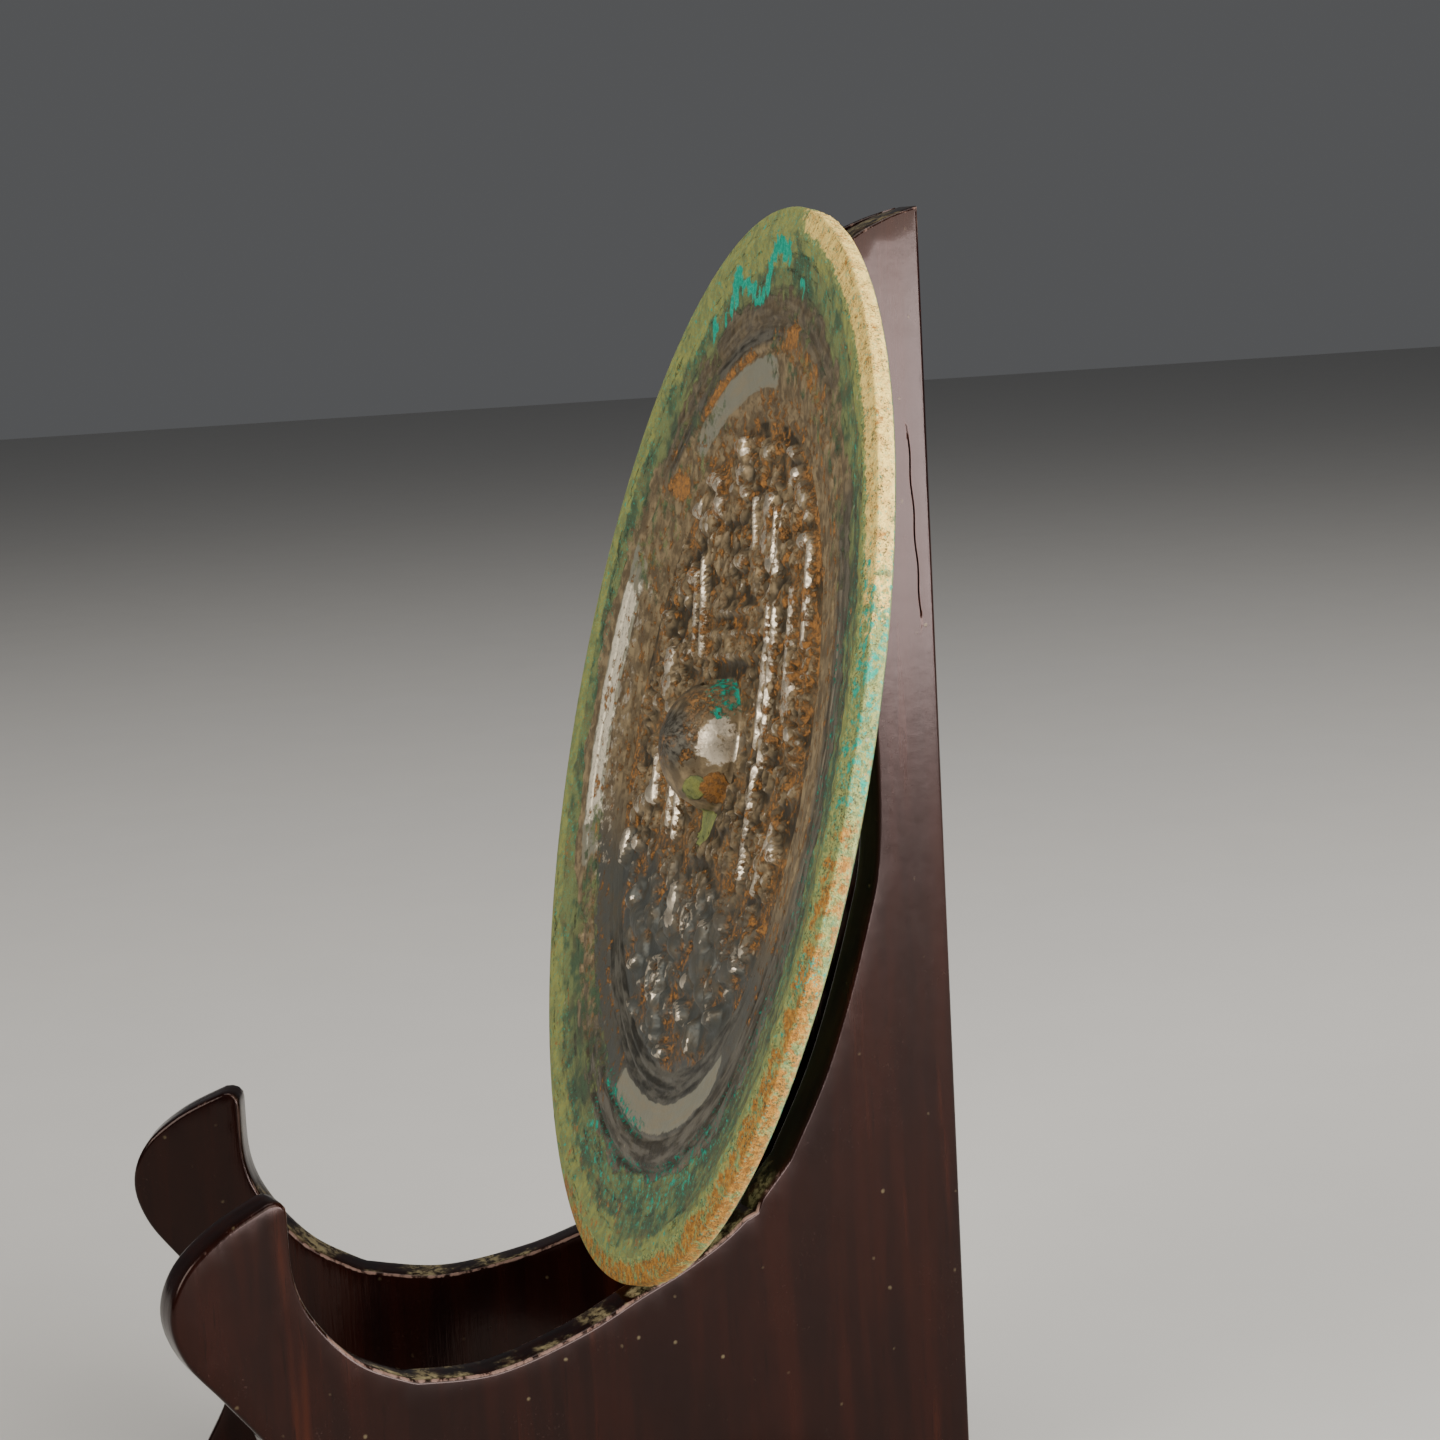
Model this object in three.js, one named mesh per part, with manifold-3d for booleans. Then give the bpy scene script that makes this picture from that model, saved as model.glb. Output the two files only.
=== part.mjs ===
// A cast bronze mirror of the late Han kind, standing in a small folding stand
// made of two wooden boards. Units are millimetres and +Z is up. The mirror's
// decorated face looks towards -Y, and the origin is the middle of the whole
// object's box, on the surface that the stand's feet rest on.
import * as THREE from 'three';
import { mergeVertices } from 'three/addons/utils/BufferGeometryUtils.js';
import Module from 'manifold-3d';

const wasm = await Module();
wasm.setup();

// ---- driving dimensions ----
const CLEARANCE = 0.3;

const board = {
  height: 160,
  reach: 102,
  thickness: 4.7,
  halfAngle: THREE.MathUtils.degToRad(14),
};

const knuckle = {
  radius: 2.3,
  lowerJoint: 56,
  upperJoint: 110,
  top: 158.8,
  sides: 24,
};

const foot = {
  heelLength: 18,
  toeStart: 80,
  toeEnd: 99,
  archHeight: 11.5,
};

const disc = {
  radius: 65.3,
  lean: THREE.MathUtils.degToRad(14.2),
  behindHinge: 27.5,
  centreHeight: 96.9,
  segments: 76,
};

// The mirror's section, as heights over the plane of its back edge.
const section = {
  backSagitta: 3.4,
  edgeHeight: 2.1,
  edgeRound: 0.25,
  ridge: { r: 62.0, z: 2.65 },
  rimFoot: { r: 51.8, z: 1.05 },
  bandTop: { r: 48.2, z: 0.65 },
  bandFoot: { r: 43.4, z: -0.3 },
  fieldEdge: { r: 39.6, z: -1.05 },
  fieldCentre: -1.9,
};

const knob = {
  radius: 8.2,
  height: 7.5,
  cordHoleRadius: 1.5,
  cordHoleHeight: 2.1,
};

const relief = { bar: 1.1, body: 1.7, head: 2.2, sink: 0.8 };

// ---- finishes ----
const bronze = new THREE.MeshStandardMaterial({ color: 0x6f6a4c, roughness: 0.55, metalness: 0.6 });
const lacquer = new THREE.MeshStandardMaterial({ color: 0x2e0f0b, roughness: 0.35, metalness: 0.0 });

// ---- solids ----
function toSolid(geometry) {
  const plain = geometry.clone();
  plain.deleteAttribute('normal');
  plain.deleteAttribute('uv');
  const merged = mergeVertices(plain, 1e-4);
  const index = merged.index.array;
  const kept = [];
  for (let i = 0; i < index.length; i += 3) {
    const [a, b, c] = [index[i], index[i + 1], index[i + 2]];
    if (a !== b && b !== c && c !== a) kept.push(a, b, c);
  }
  const mesh = new wasm.Mesh({
    numProp: 3,
    vertProperties: new Float32Array(merged.attributes.position.array),
    triVerts: new Uint32Array(kept),
  });
  return new wasm.Manifold(mesh);
}

function toGeometry(solid) {
  const mesh = solid.getMesh();
  const geometry = new THREE.BufferGeometry();
  geometry.setAttribute('position', new THREE.BufferAttribute(mesh.vertProperties, 3));
  geometry.setIndex(new THREE.BufferAttribute(mesh.triVerts, 1));
  geometry.computeVertexNormals();
  return geometry;
}

function joined(first, others) {
  return others.reduce((sum, other) => sum.add(toSolid(other)), first);
}

// A profile of [radius, height] pairs turned about +Z.
function turned(profile, segments) {
  const points = profile.map(([r, z]) => new THREE.Vector2(r, z));
  return new THREE.LatheGeometry(points, segments).rotateX(Math.PI / 2);
}

function upright(radius, low, high, sides) {
  const rod = new THREE.CylinderGeometry(radius, radius, high - low, sides);
  return rod.rotateX(Math.PI / 2).translate(0, 0, (low + high) / 2);
}

// ---- stand ----
// A board's outline: x is the distance forward from the hinge line and y the
// height. It runs up the back edge, over the sloping tip and the rounded
// corner that the mirror leans on, down the hollow front edge to the saddle,
// round the hook and its curled nose, and back over the toe and the arch.
function boardOutline() {
  const { height, reach } = board;
  const { heelLength, toeStart, toeEnd, archHeight } = foot;
  const at = (x, y) => new THREE.Vector2(x, y);
  const shape = new THREE.Shape();
  shape.moveTo(0, 0);
  shape.lineTo(0, height);
  shape.splineThru([at(4.4, height - 1.2), at(9.1, height - 3.3), at(12.1, height - 6.2)]);
  shape.quadraticCurveTo(13.2, height - 7.6, 12.8, height - 11);
  shape.splineThru([at(11.2, 128), at(9.4, 103), at(9.6, 84), at(12.2, 73), at(17.9, 58), at(24.2, 46.8)]);
  shape.splineThru([at(31.2, 40.3), at(38, 36.7), at(44.8, 34.25), at(53.2, 31.2), at(64, 29.1), at(74, 30.2)]);
  shape.splineThru([at(80.4, 33.8), at(85.3, 39.5), at(87.6, 45.2), at(87.8, 53.2)]);
  shape.quadraticCurveTo(88.2, 54.6, 90, 54.3);
  shape.splineThru([at(95.7, 51.7), at(100.2, 48), at(reach, 43.2), at(100.6, 38), at(96.6, 32.6), at(92.4, 27)]);
  shape.splineThru([at(91.2, 21.5), at(92.6, 14), at(96.4, 6.5), at(toeEnd, 0)]);
  shape.lineTo(toeStart, 0);
  shape.bezierCurveTo(toeStart - 3, archHeight, toeStart - 10, archHeight, toeStart - 16, archHeight);
  shape.lineTo(heelLength + 16, archHeight);
  shape.bezierCurveTo(heelLength + 10, archHeight, heelLength + 3, archHeight, heelLength, 0);
  shape.closePath();
  return shape;
}

// Puts an extrusion's x forward (-Y), its y up (+Z), and its depth towards -X.
function stoodUp(geometry) {
  const basis = new THREE.Matrix4().makeBasis(
    new THREE.Vector3(0, -1, 0),
    new THREE.Vector3(0, 0, 1),
    new THREE.Vector3(-1, 0, 0),
  );
  return geometry.applyMatrix4(basis);
}

// The knuckles of the hinge alternate along the back edge: a board keeps its
// own knuckles, and is hollowed to clear those of the other board.
const knuckleRuns = {
  right: [
    [0, knuckle.lowerJoint - CLEARANCE / 2],
    [knuckle.upperJoint + CLEARANCE / 2, knuckle.top],
  ],
  left: [[knuckle.lowerJoint + CLEARANCE / 2, knuckle.upperJoint - CLEARANCE / 2]],
};

const hollowRuns = {
  right: [[knuckle.lowerJoint - CLEARANCE / 2, knuckle.upperJoint + CLEARANCE / 2]],
  left: [
    [-1, knuckle.lowerJoint + CLEARANCE / 2],
    [knuckle.upperJoint - CLEARANCE / 2, board.height + 1],
  ],
};

// One board, with its hinge axis on the Z axis and its plane along -Y.
function boardGeometry(side) {
  const { thickness } = board;
  const outward = side === 'right' ? 1 : -1;
  const plank = new THREE.ExtrudeGeometry(boardOutline(), {
    depth: thickness,
    bevelEnabled: false,
    curveSegments: 4,
  });
  const middle = (outward * (CLEARANCE + thickness)) / 2;
  stoodUp(plank).translate(middle + thickness / 2, 0, 0);
  let solid = toSolid(plank);
  for (const [low, high] of hollowRuns[side]) {
    solid = solid.subtract(toSolid(upright(knuckle.radius + CLEARANCE, low, high, knuckle.sides)));
  }
  const knuckles = knuckleRuns[side].map(([low, high]) => upright(knuckle.radius, low, high, knuckle.sides));
  return toGeometry(joined(solid, knuckles));
}

// ---- mirror ----
// The back is a shallow dome, the polished side of the real mirror.
function backHeight(r) {
  return -section.backSagitta * (1 - (r / disc.radius) ** 2);
}

// The sunk field of the decorated face is a shallow dish.
function fieldHeight(r) {
  const { fieldCentre, fieldEdge } = section;
  return fieldCentre + (fieldEdge.z - fieldCentre) * (r / fieldEdge.r) ** 2;
}

function plateProfile() {
  const { edgeHeight, edgeRound, ridge, rimFoot, bandTop, bandFoot, fieldEdge } = section;
  const steps = [0, 1 / 3, 2 / 3];
  const back = steps.map((s) => s * disc.radius).map((r) => [r, backHeight(r)]);
  const field = steps.map((s) => s * fieldEdge.r).reverse();
  return [
    ...back,
    [disc.radius - edgeRound, backHeight(disc.radius - edgeRound)],
    [disc.radius, edgeRound],
    [disc.radius, edgeHeight - edgeRound],
    [disc.radius - edgeRound, edgeHeight],
    [ridge.r, ridge.z],
    [(ridge.r + rimFoot.r) / 2, (ridge.z + rimFoot.z) / 2 - 0.2],
    [rimFoot.r, rimFoot.z],
    [bandTop.r, bandTop.z],
    [bandFoot.r, bandFoot.z],
    [fieldEdge.r, fieldEdge.z],
    ...field.map((r) => [r, fieldHeight(r)]),
  ];
}

function knobProfile() {
  const foot = section.fieldCentre;
  const profile = [
    [0, foot - relief.sink],
    [knob.radius, foot - relief.sink],
  ];
  const steps = 6;
  for (let i = 0; i <= steps; i += 1) {
    const angle = (i / steps) * (Math.PI / 2);
    profile.push([knob.radius * Math.cos(angle), foot + knob.height * Math.sin(angle)]);
  }
  profile[profile.length - 1][0] = 0;
  return profile;
}

// A low rounded boss on the field, longer along its own x when a > b.
function boss(x, y, a, b, rise, angle = 0) {
  const geometry = turned([[0, -relief.sink], [1, -relief.sink], [1, 0.2 * rise], [0.62, 0.8 * rise], [0, rise]], 8);
  geometry.scale(a, b, 1);
  geometry.rotateZ(angle);
  return geometry.translate(x, y, fieldHeight(Math.hypot(x, y)));
}

// A raised straight fillet on the field.
function bar(x, y, length, width, angle) {
  const height = relief.bar + relief.sink;
  const geometry = new THREE.BoxGeometry(length, width, height);
  geometry.rotateZ(angle);
  return geometry.translate(x, y, fieldHeight(Math.hypot(x, y)) + relief.bar - height / 2);
}

// A seated deity, seen from the front: head, chest, and two spread knees.
function deity(x, y, size) {
  return [
    boss(x, y + 2.9 * size, 1.7 * size, 1.8 * size, relief.head),
    boss(x, y, 3.0 * size, 2.4 * size, relief.body),
    boss(x - 2.8 * size, y - 2.4 * size, 2.6 * size, 1.3 * size, relief.body * 0.8, 0.35),
    boss(x + 2.8 * size, y - 2.4 * size, 2.6 * size, 1.3 * size, relief.body * 0.8, -0.35),
  ];
}

// A crouching beast beside a deity, facing left (-1) or right (+1).
function beast(x, y, size, facing) {
  return [
    boss(x, y, 4.2 * size, 1.9 * size, relief.body, facing * 0.3),
    boss(x + facing * 4.2 * size, y + 2.1 * size, 1.8 * size, 1.6 * size, relief.head),
    boss(x - facing * 3.4 * size, y - 2.4 * size, 1.3 * size, 1.9 * size, relief.body * 0.7, facing * 0.5),
  ];
}

const upwards = Math.PI / 2;

function carving() {
  return [
    // the upper rows
    ...deity(7, 26, 1.1),
    ...deity(-9, 33, 0.9),
    ...beast(-21, 26, 1.0, 1),
    ...beast(20, 32, 0.9, -1),
    // the tablet over the knob
    ...[11.6, 14.8, 18.0].map((y) => bar(1.5, y, 25, 0.9, 0)),
    // upright fillets that part the middle row
    bar(15.2, 6, 24, 0.9, upwards),
    bar(18.2, 6, 24, 0.9, upwards),
    bar(-14.6, 13, 11, 0.9, upwards),
    bar(-17.4, 13, 11, 0.9, upwards),
    bar(-8, -11, 5, 1.1, upwards),
    bar(-11, -11, 5, 1.1, upwards),
    bar(21, -11, 5, 1.1, upwards),
    bar(26, -3.5, 8, 1.0, -1.05),
    bar(29.5, 22.5, 9, 1.3, -1.2),
    // the middle row
    ...deity(-27, 4, 1.0),
    ...beast(-27, 17, 0.8, 1),
    ...deity(29, 8, 0.9),
    ...beast(31, -9, 0.8, 1),
    ...beast(-28, -12, 0.9, 1),
    // the lower rows
    ...deity(-4, -23, 1.0),
    ...deity(12, -25, 1.1),
    ...beast(-19, -26, 1.0, -1),
    ...beast(25, -23, 0.9, 1),
    ...deity(-3, -35, 0.7),
  ];
}

function mirrorGeometry() {
  const plate = toSolid(turned(plateProfile(), disc.segments));
  const dome = turned(knobProfile(), 24);
  const cordHole = new THREE.CylinderGeometry(knob.cordHoleRadius, knob.cordHoleRadius, 2.4 * knob.radius, 12);
  cordHole.translate(0, 0, section.fieldCentre + knob.cordHoleHeight);
  const solid = joined(plate, [dome]).subtract(toSolid(cordHole));
  return toGeometry(joined(solid, carving()));
}

// ---- assembly ----
function named(name, geometry, material) {
  const mesh = new THREE.Mesh(geometry, material);
  mesh.name = name;
  return mesh;
}

const frontReach = board.reach * Math.cos(board.halfAngle) - (CLEARANCE / 2) * Math.sin(board.halfAngle);
const hingeY = (frontReach - knuckle.radius) / 2;

const stand = new THREE.Group();
stand.position.set(0, hingeY, 0);

const rightBoard = named('right_board', boardGeometry('right'), lacquer);
rightBoard.rotation.z = board.halfAngle;

const leftBoard = named('left_board', boardGeometry('left'), lacquer);
leftBoard.rotation.z = -board.halfAngle;

stand.add(rightBoard, leftBoard);

// The mirror's own x runs across, y up its face and z out of its face.
const mirror = named('mirror', mirrorGeometry(), bronze);
mirror.position.set(0, hingeY - disc.behindHinge, disc.centreHeight);
mirror.rotation.x = Math.PI / 2 - disc.lean;

const assembly = new THREE.Group();
assembly.add(stand, mirror);

export default assembly;
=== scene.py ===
"""A cast bronze mirror with deities and beasts, resting in a folding wooden stand."""
import logging
import math
from dataclasses import dataclass, field
from enum import Enum
from functools import reduce
from typing import Iterable, Sequence

import bmesh
import bpy
import numpy as np
from mathutils import Matrix, Vector
from mathutils.geometry import delaunay_2d_cdt


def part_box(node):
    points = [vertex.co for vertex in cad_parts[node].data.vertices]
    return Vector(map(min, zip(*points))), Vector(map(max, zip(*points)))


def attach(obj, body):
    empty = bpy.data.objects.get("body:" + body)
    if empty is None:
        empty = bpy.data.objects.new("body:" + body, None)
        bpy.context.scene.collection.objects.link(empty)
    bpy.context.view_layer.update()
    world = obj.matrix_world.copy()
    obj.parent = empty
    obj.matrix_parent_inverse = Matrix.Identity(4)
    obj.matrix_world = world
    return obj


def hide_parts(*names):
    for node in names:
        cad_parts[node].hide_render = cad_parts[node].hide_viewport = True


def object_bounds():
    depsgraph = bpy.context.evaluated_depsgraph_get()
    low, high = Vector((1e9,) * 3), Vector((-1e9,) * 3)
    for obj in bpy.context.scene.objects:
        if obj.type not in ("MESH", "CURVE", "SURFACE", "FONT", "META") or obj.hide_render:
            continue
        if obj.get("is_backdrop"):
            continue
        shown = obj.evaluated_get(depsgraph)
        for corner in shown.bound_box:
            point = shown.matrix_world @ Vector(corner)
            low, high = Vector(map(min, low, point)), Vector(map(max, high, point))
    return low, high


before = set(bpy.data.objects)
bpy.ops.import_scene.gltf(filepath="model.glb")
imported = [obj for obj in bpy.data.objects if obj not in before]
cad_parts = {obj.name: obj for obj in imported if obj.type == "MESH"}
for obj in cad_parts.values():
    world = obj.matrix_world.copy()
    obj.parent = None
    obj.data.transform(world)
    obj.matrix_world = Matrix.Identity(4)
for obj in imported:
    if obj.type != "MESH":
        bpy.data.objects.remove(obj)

LOG = logging.getLogger("mirror_scene")
MM = 0.001
UPRIGHT = math.pi / 2.0
WHOLE_TURN = 2.0 * math.pi

Array = np.ndarray
Colour = tuple[float, float, float]
Point = tuple[float, float]
Span = tuple[float, float]
Piece = bpy.types.Object
Socket = bpy.types.NodeSocket
Material = bpy.types.Material

FLOAT = "NodeSocketFloat"
VECTOR = "NodeSocketVector"
COLOUR = "NodeSocketColor"


class Side(Enum):
    """The two boards of the stand, by the side of the mirror they stand on: the sign of their x."""

    RIGHT = 1
    LEFT = -1

    @property
    def word(self) -> str:
        """Name the side as the record does."""
        return self.name.lower()


class Slot(Enum):
    """The record's material slots."""

    BRONZE = "bronze"
    WOOD = "wood"


# ---------------------------------------------------------------- numbers


def smooth(low: float, high: float, value: Array) -> Array:
    """Rise from 0 at low to 1 at high along 3t^2 - 2t^3.

    Args:
        low: value where the step starts; it may be above high for a falling step.
        high: value where the step ends.
        value: the numbers to map.

    Returns:
        Numbers from 0 to 1, in value's shape.
    """
    t = np.clip((value - low) / (high - low), 0.0, 1.0)
    return t * t * (3.0 - 2.0 * t)


def highest(*layers: Array) -> Array:
    """Take the largest of several arrays, point by point."""
    return np.max(layers, axis=0)


def blurred(grid: Array, own: float) -> Array:
    """Mix each point of a grid with its four neighbours: (own * point + the four) / (own + 4)."""
    p = np.pad(grid, 1, mode="edge")
    return (p[:-2, 1:-1] + p[2:, 1:-1] + p[1:-1, :-2] + p[1:-1, 2:] + own * grid) / (own + 4.0)


@dataclass(frozen=True)
class Ripple:
    """Seeded smooth noise: a sum of sines whose directions and phases are drawn once.

    Attributes:
        seed: seed of the draw.
        length: mean wavelength, in the units of the points.
        waves: how many sines are added.
    """

    seed: int
    length: float
    waves: int = 24

    def __call__(self, *axes: Array) -> Array:
        """Add sin(k.p + phase) over all waves and scale the sum to about -1 to 1.

        Args:
            axes: one array for each coordinate of the points.

        Returns:
            The noise at each point.
        """
        draw = np.random.default_rng(self.seed)
        total = np.zeros(np.broadcast(*axes).shape)
        for _ in range(self.waves):
            way = draw.normal(size=len(axes))
            way *= WHOLE_TURN / (self.length * np.linalg.norm(way)) * draw.uniform(0.6, 1.6)
            angle = sum(k * axis for k, axis in zip(way, axes)) + draw.uniform(0.0, WHOLE_TURN)
            total = total + np.sin(angle)
        return total / math.sqrt(self.waves)


def spline(points: Sequence[Point], steps: int) -> Array:
    """Carry a uniform Catmull-Rom curve through points, the end points counted twice.

    Args:
        points: the points that the curve passes.
        steps: samples between two neighbouring points.

    Returns:
        The samples as rows of x and y, both ends included.
    """
    p = np.array([points[0], *points, points[-1]], float)
    t = np.linspace(0.0, 1.0, steps, endpoint=False)[:, None]
    rows = []
    for a, b, c, d in zip(p[:-3], p[1:-2], p[2:-1], p[3:]):
        v0, v1 = (c - a) / 2.0, (d - b) / 2.0
        rows.append((2 * b - 2 * c + v0 + v1) * t**3 + (-3 * b + 3 * c - 2 * v0 - v1) * t**2 + v0 * t + b)
    return np.vstack([*rows, p[-1:]])


def bezier(points: Sequence[Point], steps: int) -> Array:
    """Sample a Bezier curve of any degree by de Casteljau's repeated mixing.

    Args:
        points: the control points.
        steps: how many stretches the curve is cut into.

    Returns:
        The samples as rows of x and y, both ends included.
    """
    t = np.linspace(0.0, 1.0, steps + 1)[:, None]
    level = [np.array(p, float)[None, :] * np.ones_like(t) for p in points]
    while len(level) > 1:
        level = [a * (1 - t) + b * t for a, b in zip(level[:-1], level[1:])]
    return level[0]


def joined_up(path: Array) -> Array:
    """Return a closed path with its first point repeated at its end."""
    return np.vstack([path, path[:1]])


def spaced(path: Array, spacing: float, closed: bool = False) -> Array:
    """Walk a path and put points on it at one spacing.

    Args:
        path: rows of x and y.
        spacing: the wanted distance between points.
        closed: whether the last point is joined to the first.

    Returns:
        Rows of x and y, evenly spaced; a closed path's first point isn't repeated.
    """
    line = joined_up(path) if closed else path
    reach = np.concatenate([[0.0], np.cumsum(np.linalg.norm(np.diff(line, axis=0), axis=1))])
    count = max(2, int(round(reach[-1] / spacing)))
    s = np.linspace(0.0, reach[-1], count, endpoint=not closed)
    return np.stack([np.interp(s, reach, line[:, 0]), np.interp(s, reach, line[:, 1])], axis=1)


def path_distance(x: Array, y: Array, path: Array) -> tuple[Array, Array]:
    """Distance from points to a polyline, and how far along it the nearest spot lies.

    Args:
        x: the points' x.
        y: the points' y.
        path: the polyline's rows of x and y.

    Returns:
        The distances, and the nearest spots' places from 0 at the start to 1 at the end.
    """
    best = np.full(x.shape, np.inf)
    where = np.zeros(x.shape)
    last = len(path) - 1
    for i in range(last):
        (ax, ay), (bx, by) = path[i], path[i + 1]
        dx, dy = bx - ax, by - ay
        t = np.clip(((x - ax) * dx + (y - ay) * dy) / max(dx * dx + dy * dy, 1e-9), 0.0, 1.0)
        d = np.hypot(x - ax - t * dx, y - ay - t * dy)
        nearer = d < best
        best = np.where(nearer, d, best)
        where = np.where(nearer, (i + t) / last, where)
    return best, where


def within(x: Array, y: Array, loop: Array) -> Array:
    """Tell which points lie in a closed path: their ray towards +x crosses it an odd number of times.

    Args:
        x: the points' x.
        y: the points' y.
        loop: the path's rows of x and y.

    Returns:
        True for each point inside.
    """
    crossings = np.zeros(x.shape, int)
    for (ax, ay), (bx, by) in zip(loop, np.roll(loop, -1, axis=0)):
        spans = (ay > y) != (by > y)
        slope = (bx - ax) / (by - ay) if by != ay else 0.0
        crossings += spans & (x < slope * (y - ay) + ax)
    return crossings % 2 == 1


# ---------------------------------------------------------------- meshes


def make_mesh(name: str, points: Array, faces: Iterable[Sequence[int]], soft: bool = True) -> Piece:
    """Put points (metres) and faces into a new mesh object at the origin.

    Args:
        name: the piece's name.
        points: rows of x, y and z.
        faces: vertex numbers of each face, counter-clockwise from outside.
        soft: whether the faces are shaded smooth.

    Returns:
        The object, linked to the scene.
    """
    mesh = bpy.data.meshes.new(name)
    mesh.from_pydata(points.tolist(), [], [list(f) for f in faces])
    mesh.polygons.foreach_set("use_smooth", np.full(len(mesh.polygons), soft))
    mesh.validate()
    mesh.update()
    piece = bpy.data.objects.new(name, mesh)
    bpy.context.scene.collection.objects.link(piece)
    return piece


def strip(before: Array, after: Array) -> list[list[int]]:
    """Join two closed rings of vertex numbers by a strip of quads."""
    return np.stack([before, after, np.roll(after, -1), np.roll(before, -1)], axis=-1).tolist()


def paint(piece: Piece, name: str, channels: Sequence[Array]) -> None:
    """Store three masks of 0 to 1 on a piece's vertices as one colour attribute.

    Args:
        piece: the mesh object.
        name: the attribute's name.
        channels: three arrays, one number for each vertex.
    """
    values = np.ones((len(piece.data.vertices), 4), np.float32)
    values[:, :3] = np.clip(np.stack(channels, axis=1), 0.0, 1.0)
    layer = piece.data.attributes.new(name, "FLOAT_COLOR", "POINT")
    layer.data.foreach_set("color", values.ravel())


def coordinates(piece: Piece) -> Array:
    """Read a mesh's vertices.

    Args:
        piece: the mesh object.

    Returns:
        Rows of x, y and z, in metres.
    """
    flat = np.empty(len(piece.data.vertices) * 3, np.float32)
    piece.data.vertices.foreach_get("co", flat)
    return flat.reshape(-1, 3).astype(float)


def face_outwards(piece: Piece) -> None:
    """Turn a mesh's faces outwards.

    Args:
        piece: the mesh object.
    """
    shell = bmesh.new()
    shell.from_mesh(piece.data)
    bmesh.ops.recalc_face_normals(shell, faces=shell.faces)
    shell.to_mesh(piece.data)
    shell.free()


def combine(piece: Piece, tool: Piece, operation: str) -> None:
    """Cut a tool from a piece or join it to it, and remove the tool.

    Args:
        piece: the mesh that changes.
        tool: the closed mesh that is used up.
        operation: DIFFERENCE or UNION.
    """
    for obj in (piece, tool):
        face_outwards(obj)
    step = piece.modifiers.new("step", "BOOLEAN")
    step.operation = operation
    step.solver = "EXACT"
    step.object = tool
    bpy.context.view_layer.update()
    seen = piece.evaluated_get(bpy.context.evaluated_depsgraph_get())
    result = bpy.data.meshes.new_from_object(seen)
    piece.modifiers.clear()
    piece.data = result
    result.polygons.foreach_set("use_smooth", np.ones(len(result.polygons), bool))
    bpy.data.objects.remove(tool)


def dress(piece: Piece, material: Material, body: str, node: str) -> None:
    """Give a piece its finish and its place in the frame.

    Args:
        piece: the finished mesh object.
        material: its material.
        body: the body that the piece rides on.
        node: the plain solid that it stands for.
    """
    piece.data.materials.clear()
    piece.data.materials.append(material)
    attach(piece, body)
    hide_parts(node)
    LOG.info("%s: %d points, %d faces", piece.name, len(piece.data.vertices), len(piece.data.polygons))


# ---------------------------------------------------------------- shader graph


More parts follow.
